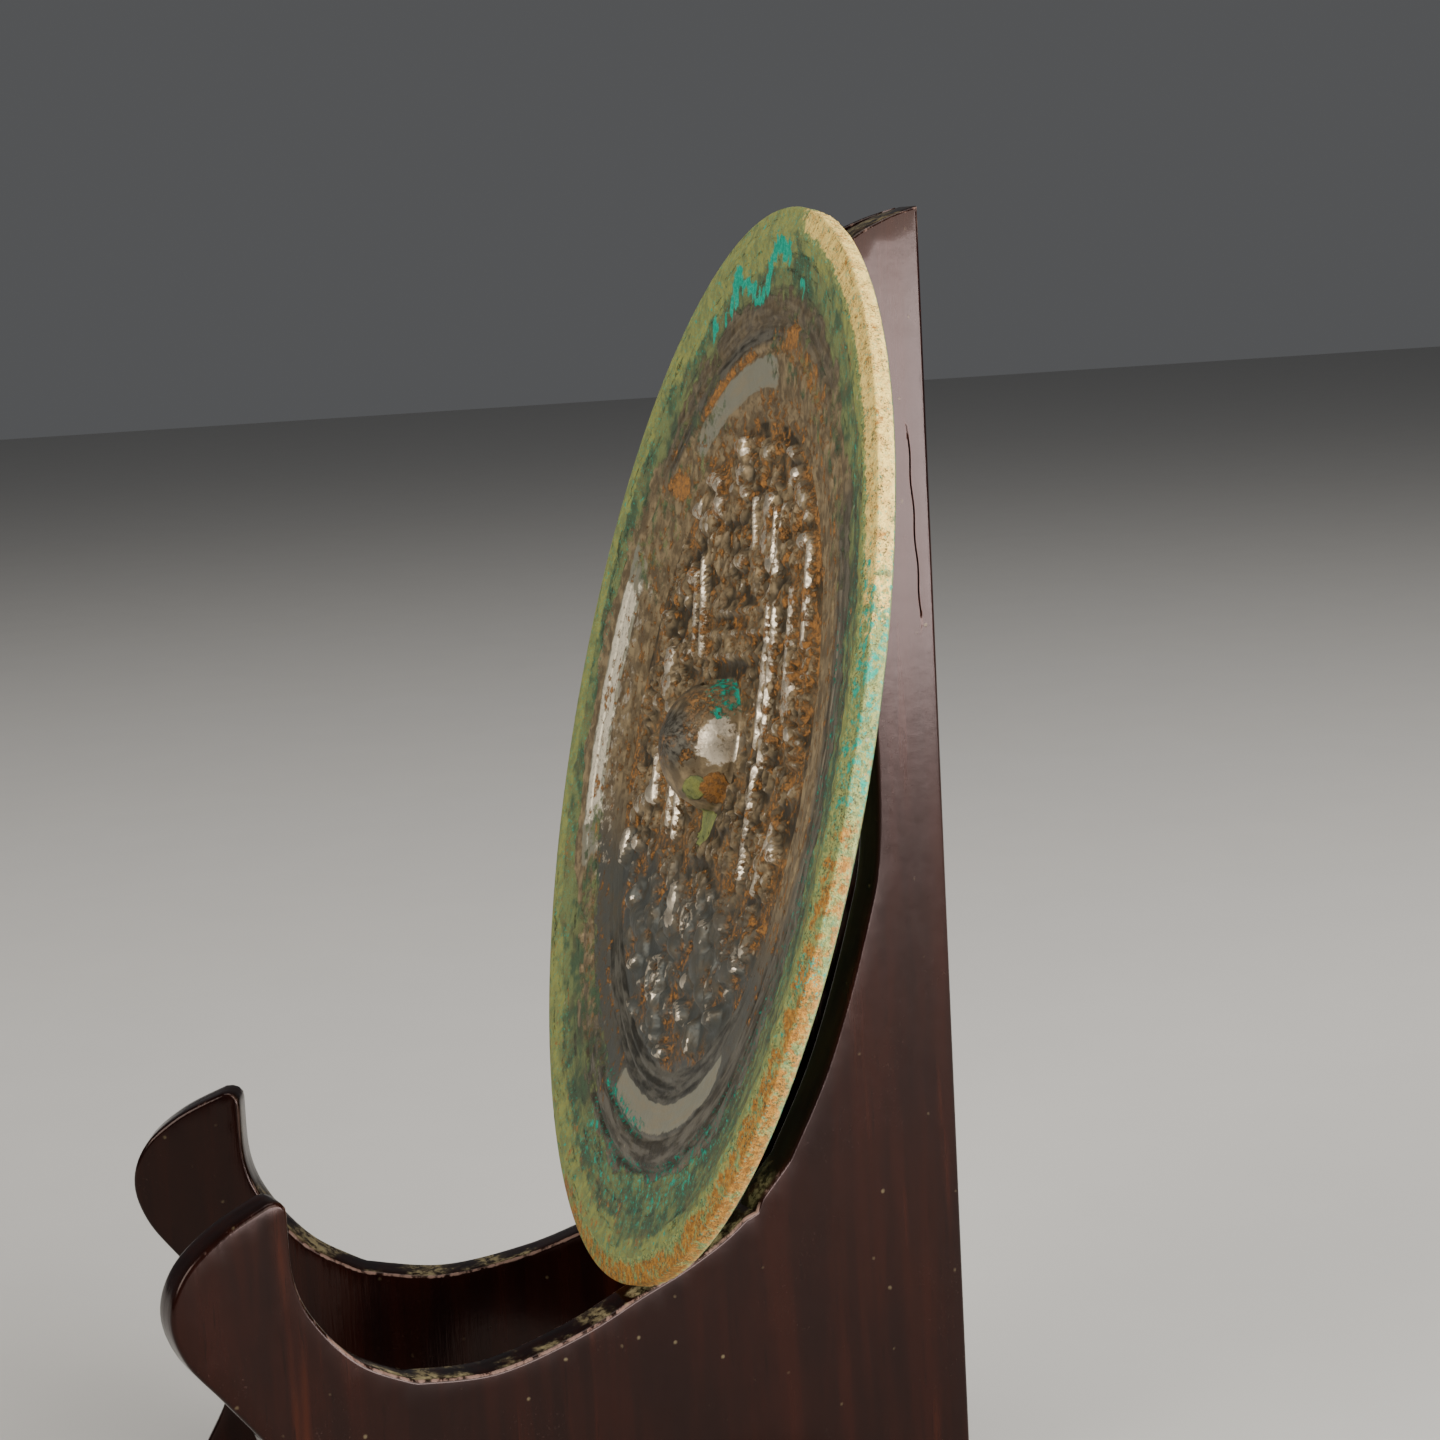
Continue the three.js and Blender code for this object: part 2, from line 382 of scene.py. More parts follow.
@dataclass
class Graph:
    """A short way to write shader nodes.

    Attributes:
        tree: the node tree that the nodes go into.
    """

    tree: bpy.types.NodeTree

    def node(self, kind: str, inputs: dict | None = None, **settings: object) -> bpy.types.Node:
        """Add a node, set its properties, and set or link its inputs.

        Args:
            kind: the node's type name without its ShaderNode prefix, or a full type name.
            inputs: input name or number to a value or an output socket.
            settings: properties of the node.

        Returns:
            The node.
        """
        made = self.tree.nodes.new(kind if kind.startswith("Node") else "ShaderNode" + kind)
        for key, value in settings.items():
            setattr(made, key, value)
        for key, value in (inputs or {}).items():
            self.feed(made.inputs[key], value)
        return made

    def feed(self, socket: Socket, value: object) -> None:
        """Link an output socket to an input, or set the input's own value.

        Args:
            socket: the input.
            value: an output socket, or a plain value; a colour leaves out its alpha.
        """
        if isinstance(value, Socket):
            self.tree.links.new(value, socket)
        elif socket.type == "RGBA":
            socket.default_value = (*value, 1.0)
        else:
            socket.default_value = value

    def math(self, operation: str, a: object, b: object, clamp: bool = False) -> Socket:
        """Add a Math node and return its output."""
        return self.node("Math", {0: a, 1: b}, operation=operation, use_clamp=clamp).outputs[0]

    def times(self, *values: object) -> Socket:
        """Multiply values together."""
        return reduce(lambda a, b: self.math("MULTIPLY", a, b), values)

    def plus(self, *values: object) -> Socket:
        """Add values together."""
        return reduce(lambda a, b: self.math("ADD", a, b), values)

    def most(self, *values: object) -> Socket:
        """Take the largest value."""
        return reduce(lambda a, b: self.math("MAXIMUM", a, b), values)

    def weighted(self, *terms: tuple[object, object]) -> Socket:
        """Add value times weight over all the terms."""
        return self.plus(*(self.times(value, weight) for value, weight in terms))

    def rest(self, value: object) -> Socket:
        """Return what is left of 1 when a value is taken away, not below 0."""
        return self.math("SUBTRACT", 1.0, value, clamp=True)

    def ramp(self, value: object, low: float, high: float, start: float = 0.0, end: float = 1.0) -> Socket:
        """Map a value from low..high to start..end with a smooth step; high may be below low."""
        limits = {"Value": value, "From Min": low, "From Max": high, "To Min": start, "To Max": end}
        return self.node("MapRange", limits, interpolation_type="SMOOTHSTEP").outputs["Result"]

    def mix(self, share: object, a: object, b: object) -> Socket:
        """Mix two colours: a where share is 0, b where it is 1."""
        return self.node("Mix", {0: share, 6: a, 7: b}, data_type="RGBA").outputs[2]

    def noise(self, vector: Socket, scale: float, detail: float = 3.0, rough: float = 0.55,
              warp: float = 0.0) -> Socket:
        """Add noise: features per metre, octaves, weight of the finer ones, and bend by itself."""
        values = {"Vector": vector, "Scale": scale, "Detail": detail, "Roughness": rough, "Distortion": warp}
        return self.node("TexNoise", values).outputs["Fac"]

    def channels(self, name: str) -> list[Socket]:
        """Read a colour attribute's three channels."""
        read = self.node("Attribute", attribute_name=name, attribute_type="GEOMETRY")
        return list(self.node("SeparateColor", {0: read.outputs["Color"]}).outputs)


def group(name: str, inputs: dict[str, str], outputs: dict[str, str]) -> tuple[Graph, dict, bpy.types.Node]:
    """Start a shader node group with named sockets.

    Args:
        name: the group's name.
        inputs: socket type of each input.
        outputs: socket type of each output.

    Returns:
        The group's graph, its inputs by name, and its output node.
    """
    tree = bpy.data.node_groups.new(name, "ShaderNodeTree")
    for way, sockets in (("INPUT", inputs), ("OUTPUT", outputs)):
        for label, kind in sockets.items():
            tree.interface.new_socket(label, in_out=way, socket_type=kind)
    graph = Graph(tree)
    entry = graph.node("NodeGroupInput")
    return graph, {label: entry.outputs[label] for label in inputs}, graph.node("NodeGroupOutput")


@dataclass
class SharedEffects:
    """The effects that bronze and wood both use, each a node group built once.

    Attributes:
        dust: a layer of settled dust and specks.
        blotch: a mask with a ragged edge, made from a soft mask and noise.
    """

    dust: bpy.types.NodeTree = field(init=False)
    blotch: bpy.types.NodeTree = field(init=False)

    def __post_init__(self) -> None:
        """Build both groups."""
        self.dust = self.build_dust()
        self.blotch = self.build_blotch()

    @staticmethod
    def build_dust() -> bpy.types.NodeTree:
        """Make the dust group: specks where small round cells are rare, and a thin film on ledges.

        Returns:
            The node group.
        """
        g, given, leave = group(
            "dust_layer",
            {"Vector": VECTOR, "Colour": COLOUR, "Amount": FLOAT, "Ledge": FLOAT, "Dust Colour": COLOUR},
            {"Colour": COLOUR, "Mask": FLOAT},
        )
        place = given["Vector"]
        cells = g.node("TexVoronoi", {"Vector": place, "Scale": 420.0}, feature="F1")
        dots = g.ramp(cells.outputs["Distance"], 0.16, 0.05)
        rare = g.ramp(g.noise(place, 300.0, 2.0), 0.56, 0.66)
        film = g.times(given["Ledge"], g.ramp(g.noise(place, 900.0, 4.0, 0.7), 0.35, 0.65))
        mask = g.math("ADD", g.times(dots, rare, given["Amount"]), film, clamp=True)
        g.feed(leave.inputs["Colour"], g.mix(mask, given["Colour"], given["Dust Colour"]))
        g.feed(leave.inputs["Mask"], mask)
        return g.tree

    @staticmethod
    def build_blotch() -> bpy.types.NodeTree:
        """Make the blotch group: a soft mask plus noise, cut at one level so its edge turns ragged.

        Returns:
            The node group.
        """
        g, given, leave = group(
            "ragged_blotch",
            {"Vector": VECTOR, "Mask": FLOAT, "Scale": FLOAT, "Ragged": FLOAT},
            {"Mask": FLOAT},
        )
        grain = g.noise(given["Vector"], given["Scale"], 6.0, 0.66)
        swing = g.times(g.math("SUBTRACT", grain, 0.5), given["Ragged"])
        cut = g.ramp(g.plus(given["Mask"], swing), 0.42, 0.58)
        g.feed(leave.inputs["Mask"], g.times(cut, g.ramp(given["Mask"], 0.0, 0.08)))
        return g.tree


@dataclass
class Draft:
    """A material in the making.

    Attributes:
        name: the material's name.
        effects: the shared node groups.
        material: the material.
        g: its graph.
        shader: its Principled node.
        place: the Object coordinate.
    """

    name: str
    effects: SharedEffects
    material: Material = field(init=False)
    g: Graph = field(init=False)
    shader: bpy.types.Node = field(init=False)
    place: Socket = field(init=False)

    def __post_init__(self) -> None:
        """Start the material with a Principled shader."""
        self.material = bpy.data.materials.new(self.name)
        self.material.use_nodes = True
        self.material.node_tree.nodes.clear()
        self.g = Graph(self.material.node_tree)
        self.shader = self.g.node("BsdfPrincipled")
        self.g.node("OutputMaterial", {"Surface": self.shader.outputs["BSDF"]})
        self.place = self.g.node("TexCoord").outputs["Object"]

    def blotch(self, mask: object, scale: float, ragged: float, vector: Socket | None = None) -> Socket:
        """Cut a soft mask to an edge of scale features per metre that noise moves by ragged."""
        values = {"Vector": vector or self.place, "Mask": mask, "Scale": scale, "Ragged": ragged}
        return self.g.node("Group", values, node_tree=self.effects.blotch).outputs["Mask"]

    def dust(self, colour: Socket, amount: float, ledge: object, tint: Colour) -> list[Socket]:
        """Lay dust over a colour.

        Args:
            colour: the colour below.
            amount: how much the specks cover.
            ledge: mask of the ledges that hold a film.
            tint: the dust's colour.

        Returns:
            The dusted colour, and the dust's mask.
        """
        values = {"Vector": self.place, "Colour": colour, "Amount": amount, "Ledge": ledge}
        values["Dust Colour"] = tint
        return list(self.g.node("Group", values, node_tree=self.effects.dust).outputs)

    def surface(self, colour: Socket, roughness: Socket, height: Socket, distance: float,
                strength: float) -> None:
        """Feed the shader its colour, its roughness and the bumps of its normal.

        Args:
            colour: the base colour.
            roughness: the roughness.
            height: the bumps' height, 1 for the full distance.
            distance: that distance, in metres.
            strength: the bumps' strength.
        """
        bump = self.g.node("Bump", {"Height": height, "Strength": strength, "Distance": distance})
        self.g.feed(self.shader.inputs["Base Color"], colour)
        self.g.feed(self.shader.inputs["Roughness"], roughness)
        self.g.feed(self.shader.inputs["Normal"], bump.outputs["Normal"])


def toned(colour: Colour, share: float) -> Colour:
    """Darken or lighten a colour."""
    return tuple(share * part for part in colour)


class BronzeDraft(Draft):
    """The bronze in the making, with the masks painted on the casting and the noises its layers share.

    Attributes:
        rim, band, side: the crusted rim, the smooth inner band and the outer side.
        green, soil, pale: bright verdigris, ochre earth and cream crust.
        worn, hollow, washed: worn tops with painted highlights, the relief's hollows with painted shade, and
            bluish clean ground.
        lime, dark, line: yellow-green patches, dark bare metal with some painted shade, and the thin bright
            back edge.
        broad, mid, fine, grit: noise of 8, 2, 0.6 and 0.25 millimetres.
        streak: noise drawn out along the casting's circles.
    """

    rim: Socket
    band: Socket
    side: Socket
    green: Socket
    soil: Socket
    pale: Socket
    worn: Socket
    hollow: Socket
    washed: Socket
    lime: Socket
    dark: Socket
    line: Socket
    broad: Socket
    mid: Socket
    fine: Socket
    grit: Socket
    streak: Socket

    def __post_init__(self) -> None:
        """Read the attributes and add the noises."""
        super().__post_init__()
        g, place = self.g, self.place
        self.rim, self.band, self.side = g.channels("zone")
        self.green, self.soil, self.pale = g.channels("crust")
        self.worn, self.hollow, self.washed = g.channels("wear")
        self.lime, self.dark, self.line = g.channels("tone")
        self.broad = g.noise(place, 130.0, 4.0, 0.6)
        self.mid = g.noise(place, 520.0, 5.0, 0.62, 0.4)
        self.fine = g.noise(place, 1700.0, 4.0, 0.65)
        self.grit = g.noise(place, 4200.0, 2.0, 0.6)
        unrolled = g.node("Attribute", attribute_name="unrolled", attribute_type="GEOMETRY")
        self.streak = g.noise(unrolled.outputs["Vector"], 1100.0, 5.0, 0.62)


@dataclass(frozen=True)
class AgedBronze:
    """High-tin bronze: glossy worn relief with painted highlights, earth and painted shade in its hollows,
    green and ochre crust on its rim.

    Attributes:
        ground: the metal of the sunk field.
        light: the same metal where it is rubbed.
        worn_highlight: the metal of the worn tops, lightened as a painted highlight.
        painted_gleam: painted highlight on the rubbed arc low on the rim's inner slope.
        silver: the smooth inner band.
        recess_shade: painted shade in the relief's hollows.
        clean: the bluish ground of the lowest figures.
        dusk: the dark bare metal inside the rim, also used as painted shade.
        earth: the ochre earth.
        umber: the brown of the same earth where it is thin.
        olive: the rim's dull green.
        moss: the rim's dark green.
        lime: the rim's yellow-green patches.
        brown: the rim's brown clouds.
        pit: the near-black of pits.
        verdigris: the bright blue-green corrosion.
        teal: the same corrosion's lighter grains.
        cream: the pale crust of the outer side.
        tan: the same crust where it holds earth.
        side_greens, side_earths: the outer side's green and its earth, each dark and light.
        side_pit, side_stain: its pits and its dull green stains.
        back_edge: the thin pale line along its back edge.
        dust: the settled dust.
    """

    ground: Colour = (0.150, 0.112, 0.066)
    light: Colour = (0.350, 0.265, 0.150)
    worn_highlight: Colour = (0.72, 0.63, 0.49)
    painted_gleam: Colour = (0.86, 0.78, 0.60)
    silver: Colour = (0.270, 0.265, 0.205)
    recess_shade: Colour = (0.030, 0.026, 0.018)
    clean: Colour = (0.085, 0.095, 0.090)
    dusk: Colour = (0.068, 0.064, 0.052)
    earth: Colour = (0.37, 0.170, 0.045)
    umber: Colour = (0.18, 0.100, 0.042)
    olive: Colour = (0.165, 0.195, 0.078)
    moss: Colour = (0.062, 0.100, 0.056)
    lime: Colour = (0.265, 0.285, 0.085)
    brown: Colour = (0.110, 0.085, 0.048)
    pit: Colour = (0.014, 0.016, 0.010)
    verdigris: Colour = (0.006, 0.27, 0.18)
    teal: Colour = (0.024, 0.38, 0.265)
    cream: Colour = (0.88, 0.66, 0.19)
    tan: Colour = (0.62, 0.39, 0.105)
    side_greens: tuple[Colour, Colour] = ((0.15, 0.205, 0.080), (0.31, 0.335, 0.110))
    side_earths: tuple[Colour, Colour] = ((0.27, 0.120, 0.024), (0.46, 0.225, 0.040))
    side_pit: Colour = (0.060, 0.062, 0.030)
    side_stain: Colour = (0.085, 0.115, 0.055)
    back_edge: Colour = (0.45, 0.48, 0.24)
    dust: Colour = (0.55, 0.48, 0.33)

    def build(self, effects: SharedEffects) -> Material:
        """Make the material: metal, earth, rim crust, side crust, verdigris and dust, one over the other.

        Args:
            effects: the shared node groups.

        Returns:
            The finished material.
        """
        m = BronzeDraft("aged_bronze", effects)
        g = m.g
        metal, shine = self.field_metal(m)
        soil = g.mix(g.ramp(m.fine, 0.38, 0.62), self.umber, self.earth)
        in_hollow = g.times(m.hollow, g.ramp(m.broad, 0.48, 0.62), g.ramp(m.fine, 0.42, 0.56, 0.0, 0.9))
        soiled = g.most(m.blotch(m.soil, 620.0, 1.5), in_hollow)
        rim = g.mix(m.blotch(m.soil, 480.0, 1.3), self.rim_crust(m), soil)
        crusted = m.blotch(m.rim, 420.0, 0.9)
        colour = g.mix(crusted, g.mix(soiled, metal, soil), rim)
        colour = g.mix(m.blotch(m.side, 600.0, 0.7), colour, self.side_crust(m))

        speck = g.ramp(g.noise(m.place, 2300.0, 3.0, 0.6), 0.58, 0.65, 0.0, 0.85)
        copper = g.most(m.blotch(m.green, 800.0, 1.5), g.times(speck, g.ramp(m.green, 0.08, 0.40)))
        colour = g.mix(copper, colour, g.mix(g.ramp(m.fine, 0.35, 0.65), self.verdigris, self.teal))
        colour, dusted = m.dust(colour, 0.35, 0.0, self.dust)

        covered = g.most(crusted, m.side, soiled, copper)
        bare = g.rest(covered)
        # Less metallic on the band's rubbed arc, so its painted highlight shows in the diffuse colour.
        share = g.plus(0.45, g.times(shine, g.plus(0.5, g.times(m.band, -0.6))))
        g.feed(m.shader.inputs["Metallic"], g.times(bare, share))
        m.shader.inputs["Specular IOR Level"].default_value = 0.2
        metal_rough = g.plus(0.27, g.weighted((g.rest(shine), 0.12), (m.mid, 0.22)))
        rough = g.weighted((bare, metal_rough), (covered, g.plus(0.62, g.times(m.fine, 0.3))))
        grain = g.weighted((m.fine, 0.6), (m.grit, 0.5), (m.streak, 0.5))
        height = g.weighted(
            (grain, g.plus(0.16, g.times(covered, 1.1))),
            (m.mid, g.plus(0.45, g.times(m.side, 1.2))),
            (dusted, 0.2),
        )
        m.surface(colour, rough, height, 0.00026, 1.0)
        return m.material

    def field_metal(self, m: BronzeDraft) -> tuple[Socket, Socket]:
        """Colour the bare metal: brown ground, painted shade in the hollows, bluish rows, silvery band, dark
        inner rim with some painted shade, and bright worn tops as painted highlights.

        Args:
            m: the material in the making.

        Returns:
            The colour, and the mask of the worn spots that are painted as highlights.
        """
        g = m.g
        metal = g.mix(g.ramp(m.mid, 0.38, 0.68), self.ground, self.light)
        # Painted shade: the relief's hollows and the knob's flanks are darkened.
        metal = g.mix(g.times(m.hollow, g.ramp(m.broad, 0.60, 0.42, 0.35, 0.85)), metal, self.recess_shade)
        washed = g.ramp(g.plus(m.washed, g.times(m.mid, 0.8)), 0.48, 1.15, 0.0, 0.85)
        metal = g.mix(washed, metal, g.mix(g.ramp(m.mid, 0.4, 0.7), self.clean, self.dusk))
        dusk = g.mix(g.ramp(m.streak, 0.38, 0.62), toned(self.dusk, 0.45), toned(self.dusk, 2.2))
        # Dark bare metal inside the rim; on the inner slope's lower arc and the knob's left flank it is
        # painted shade.
        metal = g.mix(m.dark, metal, dusk)
        silver = g.mix(g.ramp(m.streak, 0.42, 0.66, 0.0, 0.35), self.silver, self.light)
        metal = g.mix(m.blotch(m.band, 300.0, 1.5), metal, silver)
        # Painted highlights: the worn tops take a lightened metal, which is brighter still on the band's arc
        # at the left.
        shine = g.times(m.blotch(m.worn, 640.0, 1.5), g.ramp(m.fine, 0.30, 0.52, 0.35, 1.0))
        return g.mix(shine, metal, g.mix(m.band, self.worn_highlight, self.painted_gleam)), shine

    def rim_crust(self, m: BronzeDraft) -> Socket:
        """Colour the rim's crust: moss and olive clouds, brown and black streaks, yellow-green patches.

        Args:
            m: the material in the making.

        Returns:
            The colour.
        """
        g = m.g
        rim = g.mix(g.ramp(g.weighted((m.broad, 0.6), (m.mid, 0.4)), 0.42, 0.58), self.moss, self.olive)
        rim = g.mix(g.ramp(g.noise(m.place, 240.0, 4.0, 0.65), 0.50, 0.62, 0.0, 0.40), rim, self.brown)
        lime = g.mix(g.ramp(m.mid, 0.36, 0.62), self.olive, self.lime)
        rim = g.mix(m.blotch(m.lime, 300.0, 1.0), rim, lime)
        pits = g.times(g.ramp(m.streak, 0.56, 0.66), g.ramp(m.fine, 0.38, 0.54, 0.0, 0.75))
        rim = g.mix(pits, rim, self.pit)
        return g.mix(g.times(m.dark, g.ramp(m.streak, 0.40, 0.58, 0.0, 0.8)), rim, toned(self.dusk, 0.8))

    def side_crust(self, m: BronzeDraft) -> Socket:
        """Colour the outer side: cream and tan grains, green by the face, earth below, dark pits.

        Args:
            m: the material in the making.

        Returns:
            The colour.
        """
        g = m.g
        pale = g.mix(g.ramp(g.weighted((m.mid, 0.5), (m.fine, 0.5)), 0.42, 0.60), self.cream, self.tan)
        green = g.mix(g.ramp(m.fine, 0.38, 0.60), *self.side_greens)
        side = g.mix(m.blotch(m.pale, 900.0, 1.2), green, pale)
        earth = g.mix(g.ramp(m.fine, 0.40, 0.60), *self.side_earths)
        side = g.mix(m.blotch(m.soil, 560.0, 1.5), side, earth)
        pits = g.times(g.ramp(m.grit, 0.54, 0.62), g.ramp(m.mid, 0.42, 0.54, 0.0, 0.9))
        side = g.mix(pits, side, self.side_pit)
        side = g.mix(g.ramp(g.noise(m.place, 330.0, 5.0, 0.7), 0.60, 0.66, 0.0, 0.8), side, self.side_stain)
        return g.mix(m.line, side, self.back_edge)


@dataclass(frozen=True)
class LacqueredWood:
    """Dark red-brown hardwood under a satin lacquer, scuffed pale on its arrises.

    The mesh gives one colour attribute, edges: rubbed arris with a painted highlight along the hook's nose,
    dusty ledge, open crack.

    Attributes:
        side: which board it covers.
        dark: the grain's dark lines.
        red: the grain's red lights.
        glow: the rare orange-red streaks where the lacquer is thin.
        scuff: bare wood where an arris is rubbed, and the painted highlight along the hook's nose.
        dust: the greenish dust that lies on ledges.
        gap: the dark of the open crack.
        tint: the colour that the lacquer gives to what it reflects.
        turn: angle between the board and the frame's y, in radians.
        stretch: how the grain is drawn out along the board.
    """

    side: Side
    dark: Colour = (0.0045, 0.0015, 0.0013)
    red: Colour = (0.0120, 0.0027, 0.0016)
    glow: Colour = (0.055, 0.012, 0.004)
    scuff: Colour = (0.20, 0.125, 0.100)
    dust: Colour = (0.27, 0.225, 0.120)
    gap: Colour = (0.004, 0.002, 0.0015)
    tint: Colour = (1.0, 0.74, 0.67)
    turn: float = 0.244
    stretch: Colour = (1.0, 1.0, 0.07)

    def build(self, effects: SharedEffects) -> Material:
        """Make the material.

        Args:
            effects: the shared node groups.

        Returns:
            The finished material.
        """
        m = Draft(f"lacquered_wood_{self.side.word}", effects)
        g, place = m.g, m.place
        turned = g.node("Mapping", {"Vector": place, "Rotation": (0.0, 0.0, -self.side.value * self.turn)})
        along = turned.outputs["Vector"]
        drawn = g.node("Mapping", {"Vector": along, "Scale": self.stretch}).outputs["Vector"]
        rubbed, ledge, split = g.channels("edges")
        crack = g.times(g.ramp(split, 0.62, 0.97), g.ramp(g.noise(along, 700.0, 2.0), 0.36, 0.46))
        band = g.noise(drawn, 260.0, 5.0, 0.6, 0.5)
        pores = g.noise(drawn, 2400.0, 3.0, 0.6)
        cloud = g.noise(place, 60.0, 3.0, 0.5)

        share = g.plus(g.ramp(band, 0.36, 0.68, 0.0, 0.75), g.ramp(cloud, 0.35, 0.7, 0.0, 0.25))
        wood = g.mix(share, self.dark, self.red)
        rare = g.ramp(g.noise(drawn, 150.0, 3.0, 0.5), 0.60, 0.70)
        thin = g.times(rare, g.ramp(band, 0.45, 0.65, 0.0, 0.55))
        wood = g.mix(thin, wood, self.glow)
        wood = g.mix(g.ramp(pores, 0.60, 0.72, 0.0, 0.6), wood, toned(self.dark, 0.5))
        hazy = g.ramp(g.noise(place, 90.0, 4.0, 0.6), 0.50, 0.66)
        scratch = g.times(g.ramp(g.noise(place, 2600.0, 5.0, 0.75), 0.60, 0.70, 0.0, 0.14), hazy)
        wood = g.mix(scratch, wood, self.scuff)
        # Scuffed arrises; on the hook's nose the scuff also paints a thin highlight along the edge.
        worn = g.times(m.blotch(rubbed, 900.0, 1.3, drawn), g.ramp(rubbed, 0.15, 0.6))
        wood = g.mix(g.times(worn, 0.8), wood, self.scuff)
        settled = g.times(ledge, g.ramp(g.noise(place, 170.0, 4.0, 0.6), 0.46, 0.62))
        wood, dusted = m.dust(wood, 0.28, settled, self.dust)
        wood = g.mix(crack, g.mix(g.times(split, 0.5), wood, self.glow), self.gap)

        dull = g.most(g.times(worn, 0.6), dusted, crack)
        rough = g.plus(0.10, g.weighted((g.noise(place, 420.0, 5.0, 0.65), 0.14), (dull, 0.35)))
        m.shader.inputs["Specular IOR Level"].default_value = 0.18
        m.shader.inputs["Specular Tint"].default_value = (*self.tint, 1.0)
        m.shader.inputs["Coat Weight"].default_value = 0.05
        m.shader.inputs["Coat Roughness"].default_value = 0.17
        peel = g.noise(place, 750.0, 3.0, 0.5)
        height = g.weighted((pores, 0.35), (band, 0.4), (peel, 0.2), (dusted, 0.3), (crack, -2.0))
        m.surface(wood, rough, height, 0.0002, 0.30)
        return m.material


# ---------------------------------------------------------------- mirror


@dataclass
class Relief:
    """A height field over points, built up shape by shape; where shapes meet the higher one shows.

    Attributes:
        x: the points' x on the mirror's face, in millimetres.
        y: the points' y.
        height: the height over the bare field, in millimetres.
    """

    x: Array
    y: Array
    height: Array = field(init=False)

    def __post_init__(self) -> None:
        """Start with a bare field."""
        self.height = np.zeros_like(self.x)

    def near(self, x: float, y: float, reach: float) -> Array:
        """Return which points lie within reach of (x, y)."""
        return np.hypot(self.x - x, self.y - y) < reach

    def beside(self, path: Array, width: float) -> tuple[Array, Array]:
        """Find the points that a line may touch.

        Args:
            path: rows of x and y that the line follows.
            width: its width.

        Returns:
            Which points they are, and their distances from the path.
        """
        middle = path.mean(axis=0)
        where = self.near(*middle, np.linalg.norm(path - middle, axis=1).max() + width)
        return where, path_distance(self.x[where], self.y[where], path)[0]

    def lift(self, where: Array, rise: Array) -> None:
        """Raise the chosen points to at least rise."""
        self.height[where] = np.maximum(self.height[where], rise)

    def mound(self, x: float, y: float, a: float, b: float, rise: float, angle: float = 0.0,
              blunt: float = 0.5) -> None:
        """Add a rounded boss: rise * (1 - (u/a)^2 - (v/b)^2)^blunt in the boss's own turned axes.

        Args:
            x: middle, across.
            y: middle, upwards.
            a: half its length.
            b: half its width.
            rise: its height.
            angle: turn of its length, anticlockwise.
            blunt: 0.5 for a half ellipsoid, less for a flatter top.
        """
        where = self.near(x, y, max(a, b))
        u, v = self.x[where] - x, self.y[where] - y
        c, s = math.cos(angle), math.sin(angle)
        inside = 1.0 - ((u * c + v * s) / a) ** 2 - ((v * c - u * s) / b) ** 2
        self.lift(where, rise * np.clip(inside, 0.0, None) ** blunt)

    def stroke(self, path: Array, width: float, rise: float, flat: bool = False) -> None:
        """Add a raised line: a half ellipse across its width, or a fillet with a flat top.

        Args:
            path: rows of x and y that the line follows.
            width: its width at the foot.
            rise: its height.
            flat: whether its top is flat.
        """
        where, away = self.beside(path, width)
        share = 2.0 * away / width
        shape = smooth(1.0, 0.55, share) if flat else np.sqrt(np.clip(1.0 - share**2, 0.0, None))
        self.lift(where, rise * shape)

    def groove(self, path: Array, width: float, depth: float) -> None:
        """Cut a line of the given depth into what stands there."""
        where, away = self.beside(path, width)
        self.height[where] -= depth * smooth(0.5 * width, 0.0, away)

    def bar(self, x: float, y: float, length: float, width: float, angle: float, rise: float) -> None:
        """Add a straight fillet with a flat top."""
        way = np.array([math.cos(angle), math.sin(angle)]) * length / 2.0
        self.stroke(np.array([[x, y] - way, [x, y] + way]), width, rise, flat=True)

    def arc(self, x: float, y: float, radius: float, start: float, sweep: float, width: float,
            rise: float) -> None:
        """Add a raised arc that starts at an angle and sweeps anticlockwise, or clockwise if below 0."""
        t = np.linspace(start, start + sweep, 9)
        self.stroke(np.stack([x + radius * np.cos(t), y + radius * np.sin(t)], axis=1), width, rise)

    def curl(self, x: float, y: float, radius: float, start: float, hand: int, width: float,
             rise: float) -> None:
        """Add a spiral that winds in for one and a half turns: its radius falls evenly with the angle.

        Args:
            x: middle, across.
            y: middle, upwards.
            radius: its outer radius.
            start: angle of its outer end.
            hand: 1 if it winds anticlockwise, -1 if clockwise.
            width: the line's width.
            rise: the line's height.
        """
        t = np.linspace(0.0, 1.0, 16)
        angle = start + hand * 3.0 * math.pi * t
        r = radius * (1.0 - 0.8 * t)
        self.stroke(np.stack([x + r * np.cos(angle), y + r * np.sin(angle)], axis=1), width, rise)

    def comb(self, x: float, y: float, angle: float, count: int, pitch: float, length: float,
             rise: float) -> None:
        """Add a row of short parallel strokes.

        Args:
            x: the row's middle, across.
            y: its middle, upwards.
            angle: the way that the row runs.
            count: how many strokes it has.
            pitch: distance between them.
            length: their length.
            rise: their height.
        """
        along = np.array([math.cos(angle), math.sin(angle)])
        across = np.array([-along[1], along[0]]) * length / 2.0
        for k in range(count):
            middle = np.array([x, y]) + along * pitch * (k - (count - 1) / 2.0)
            self.stroke(np.array([middle - across, middle + across]), 0.62 * pitch, rise)


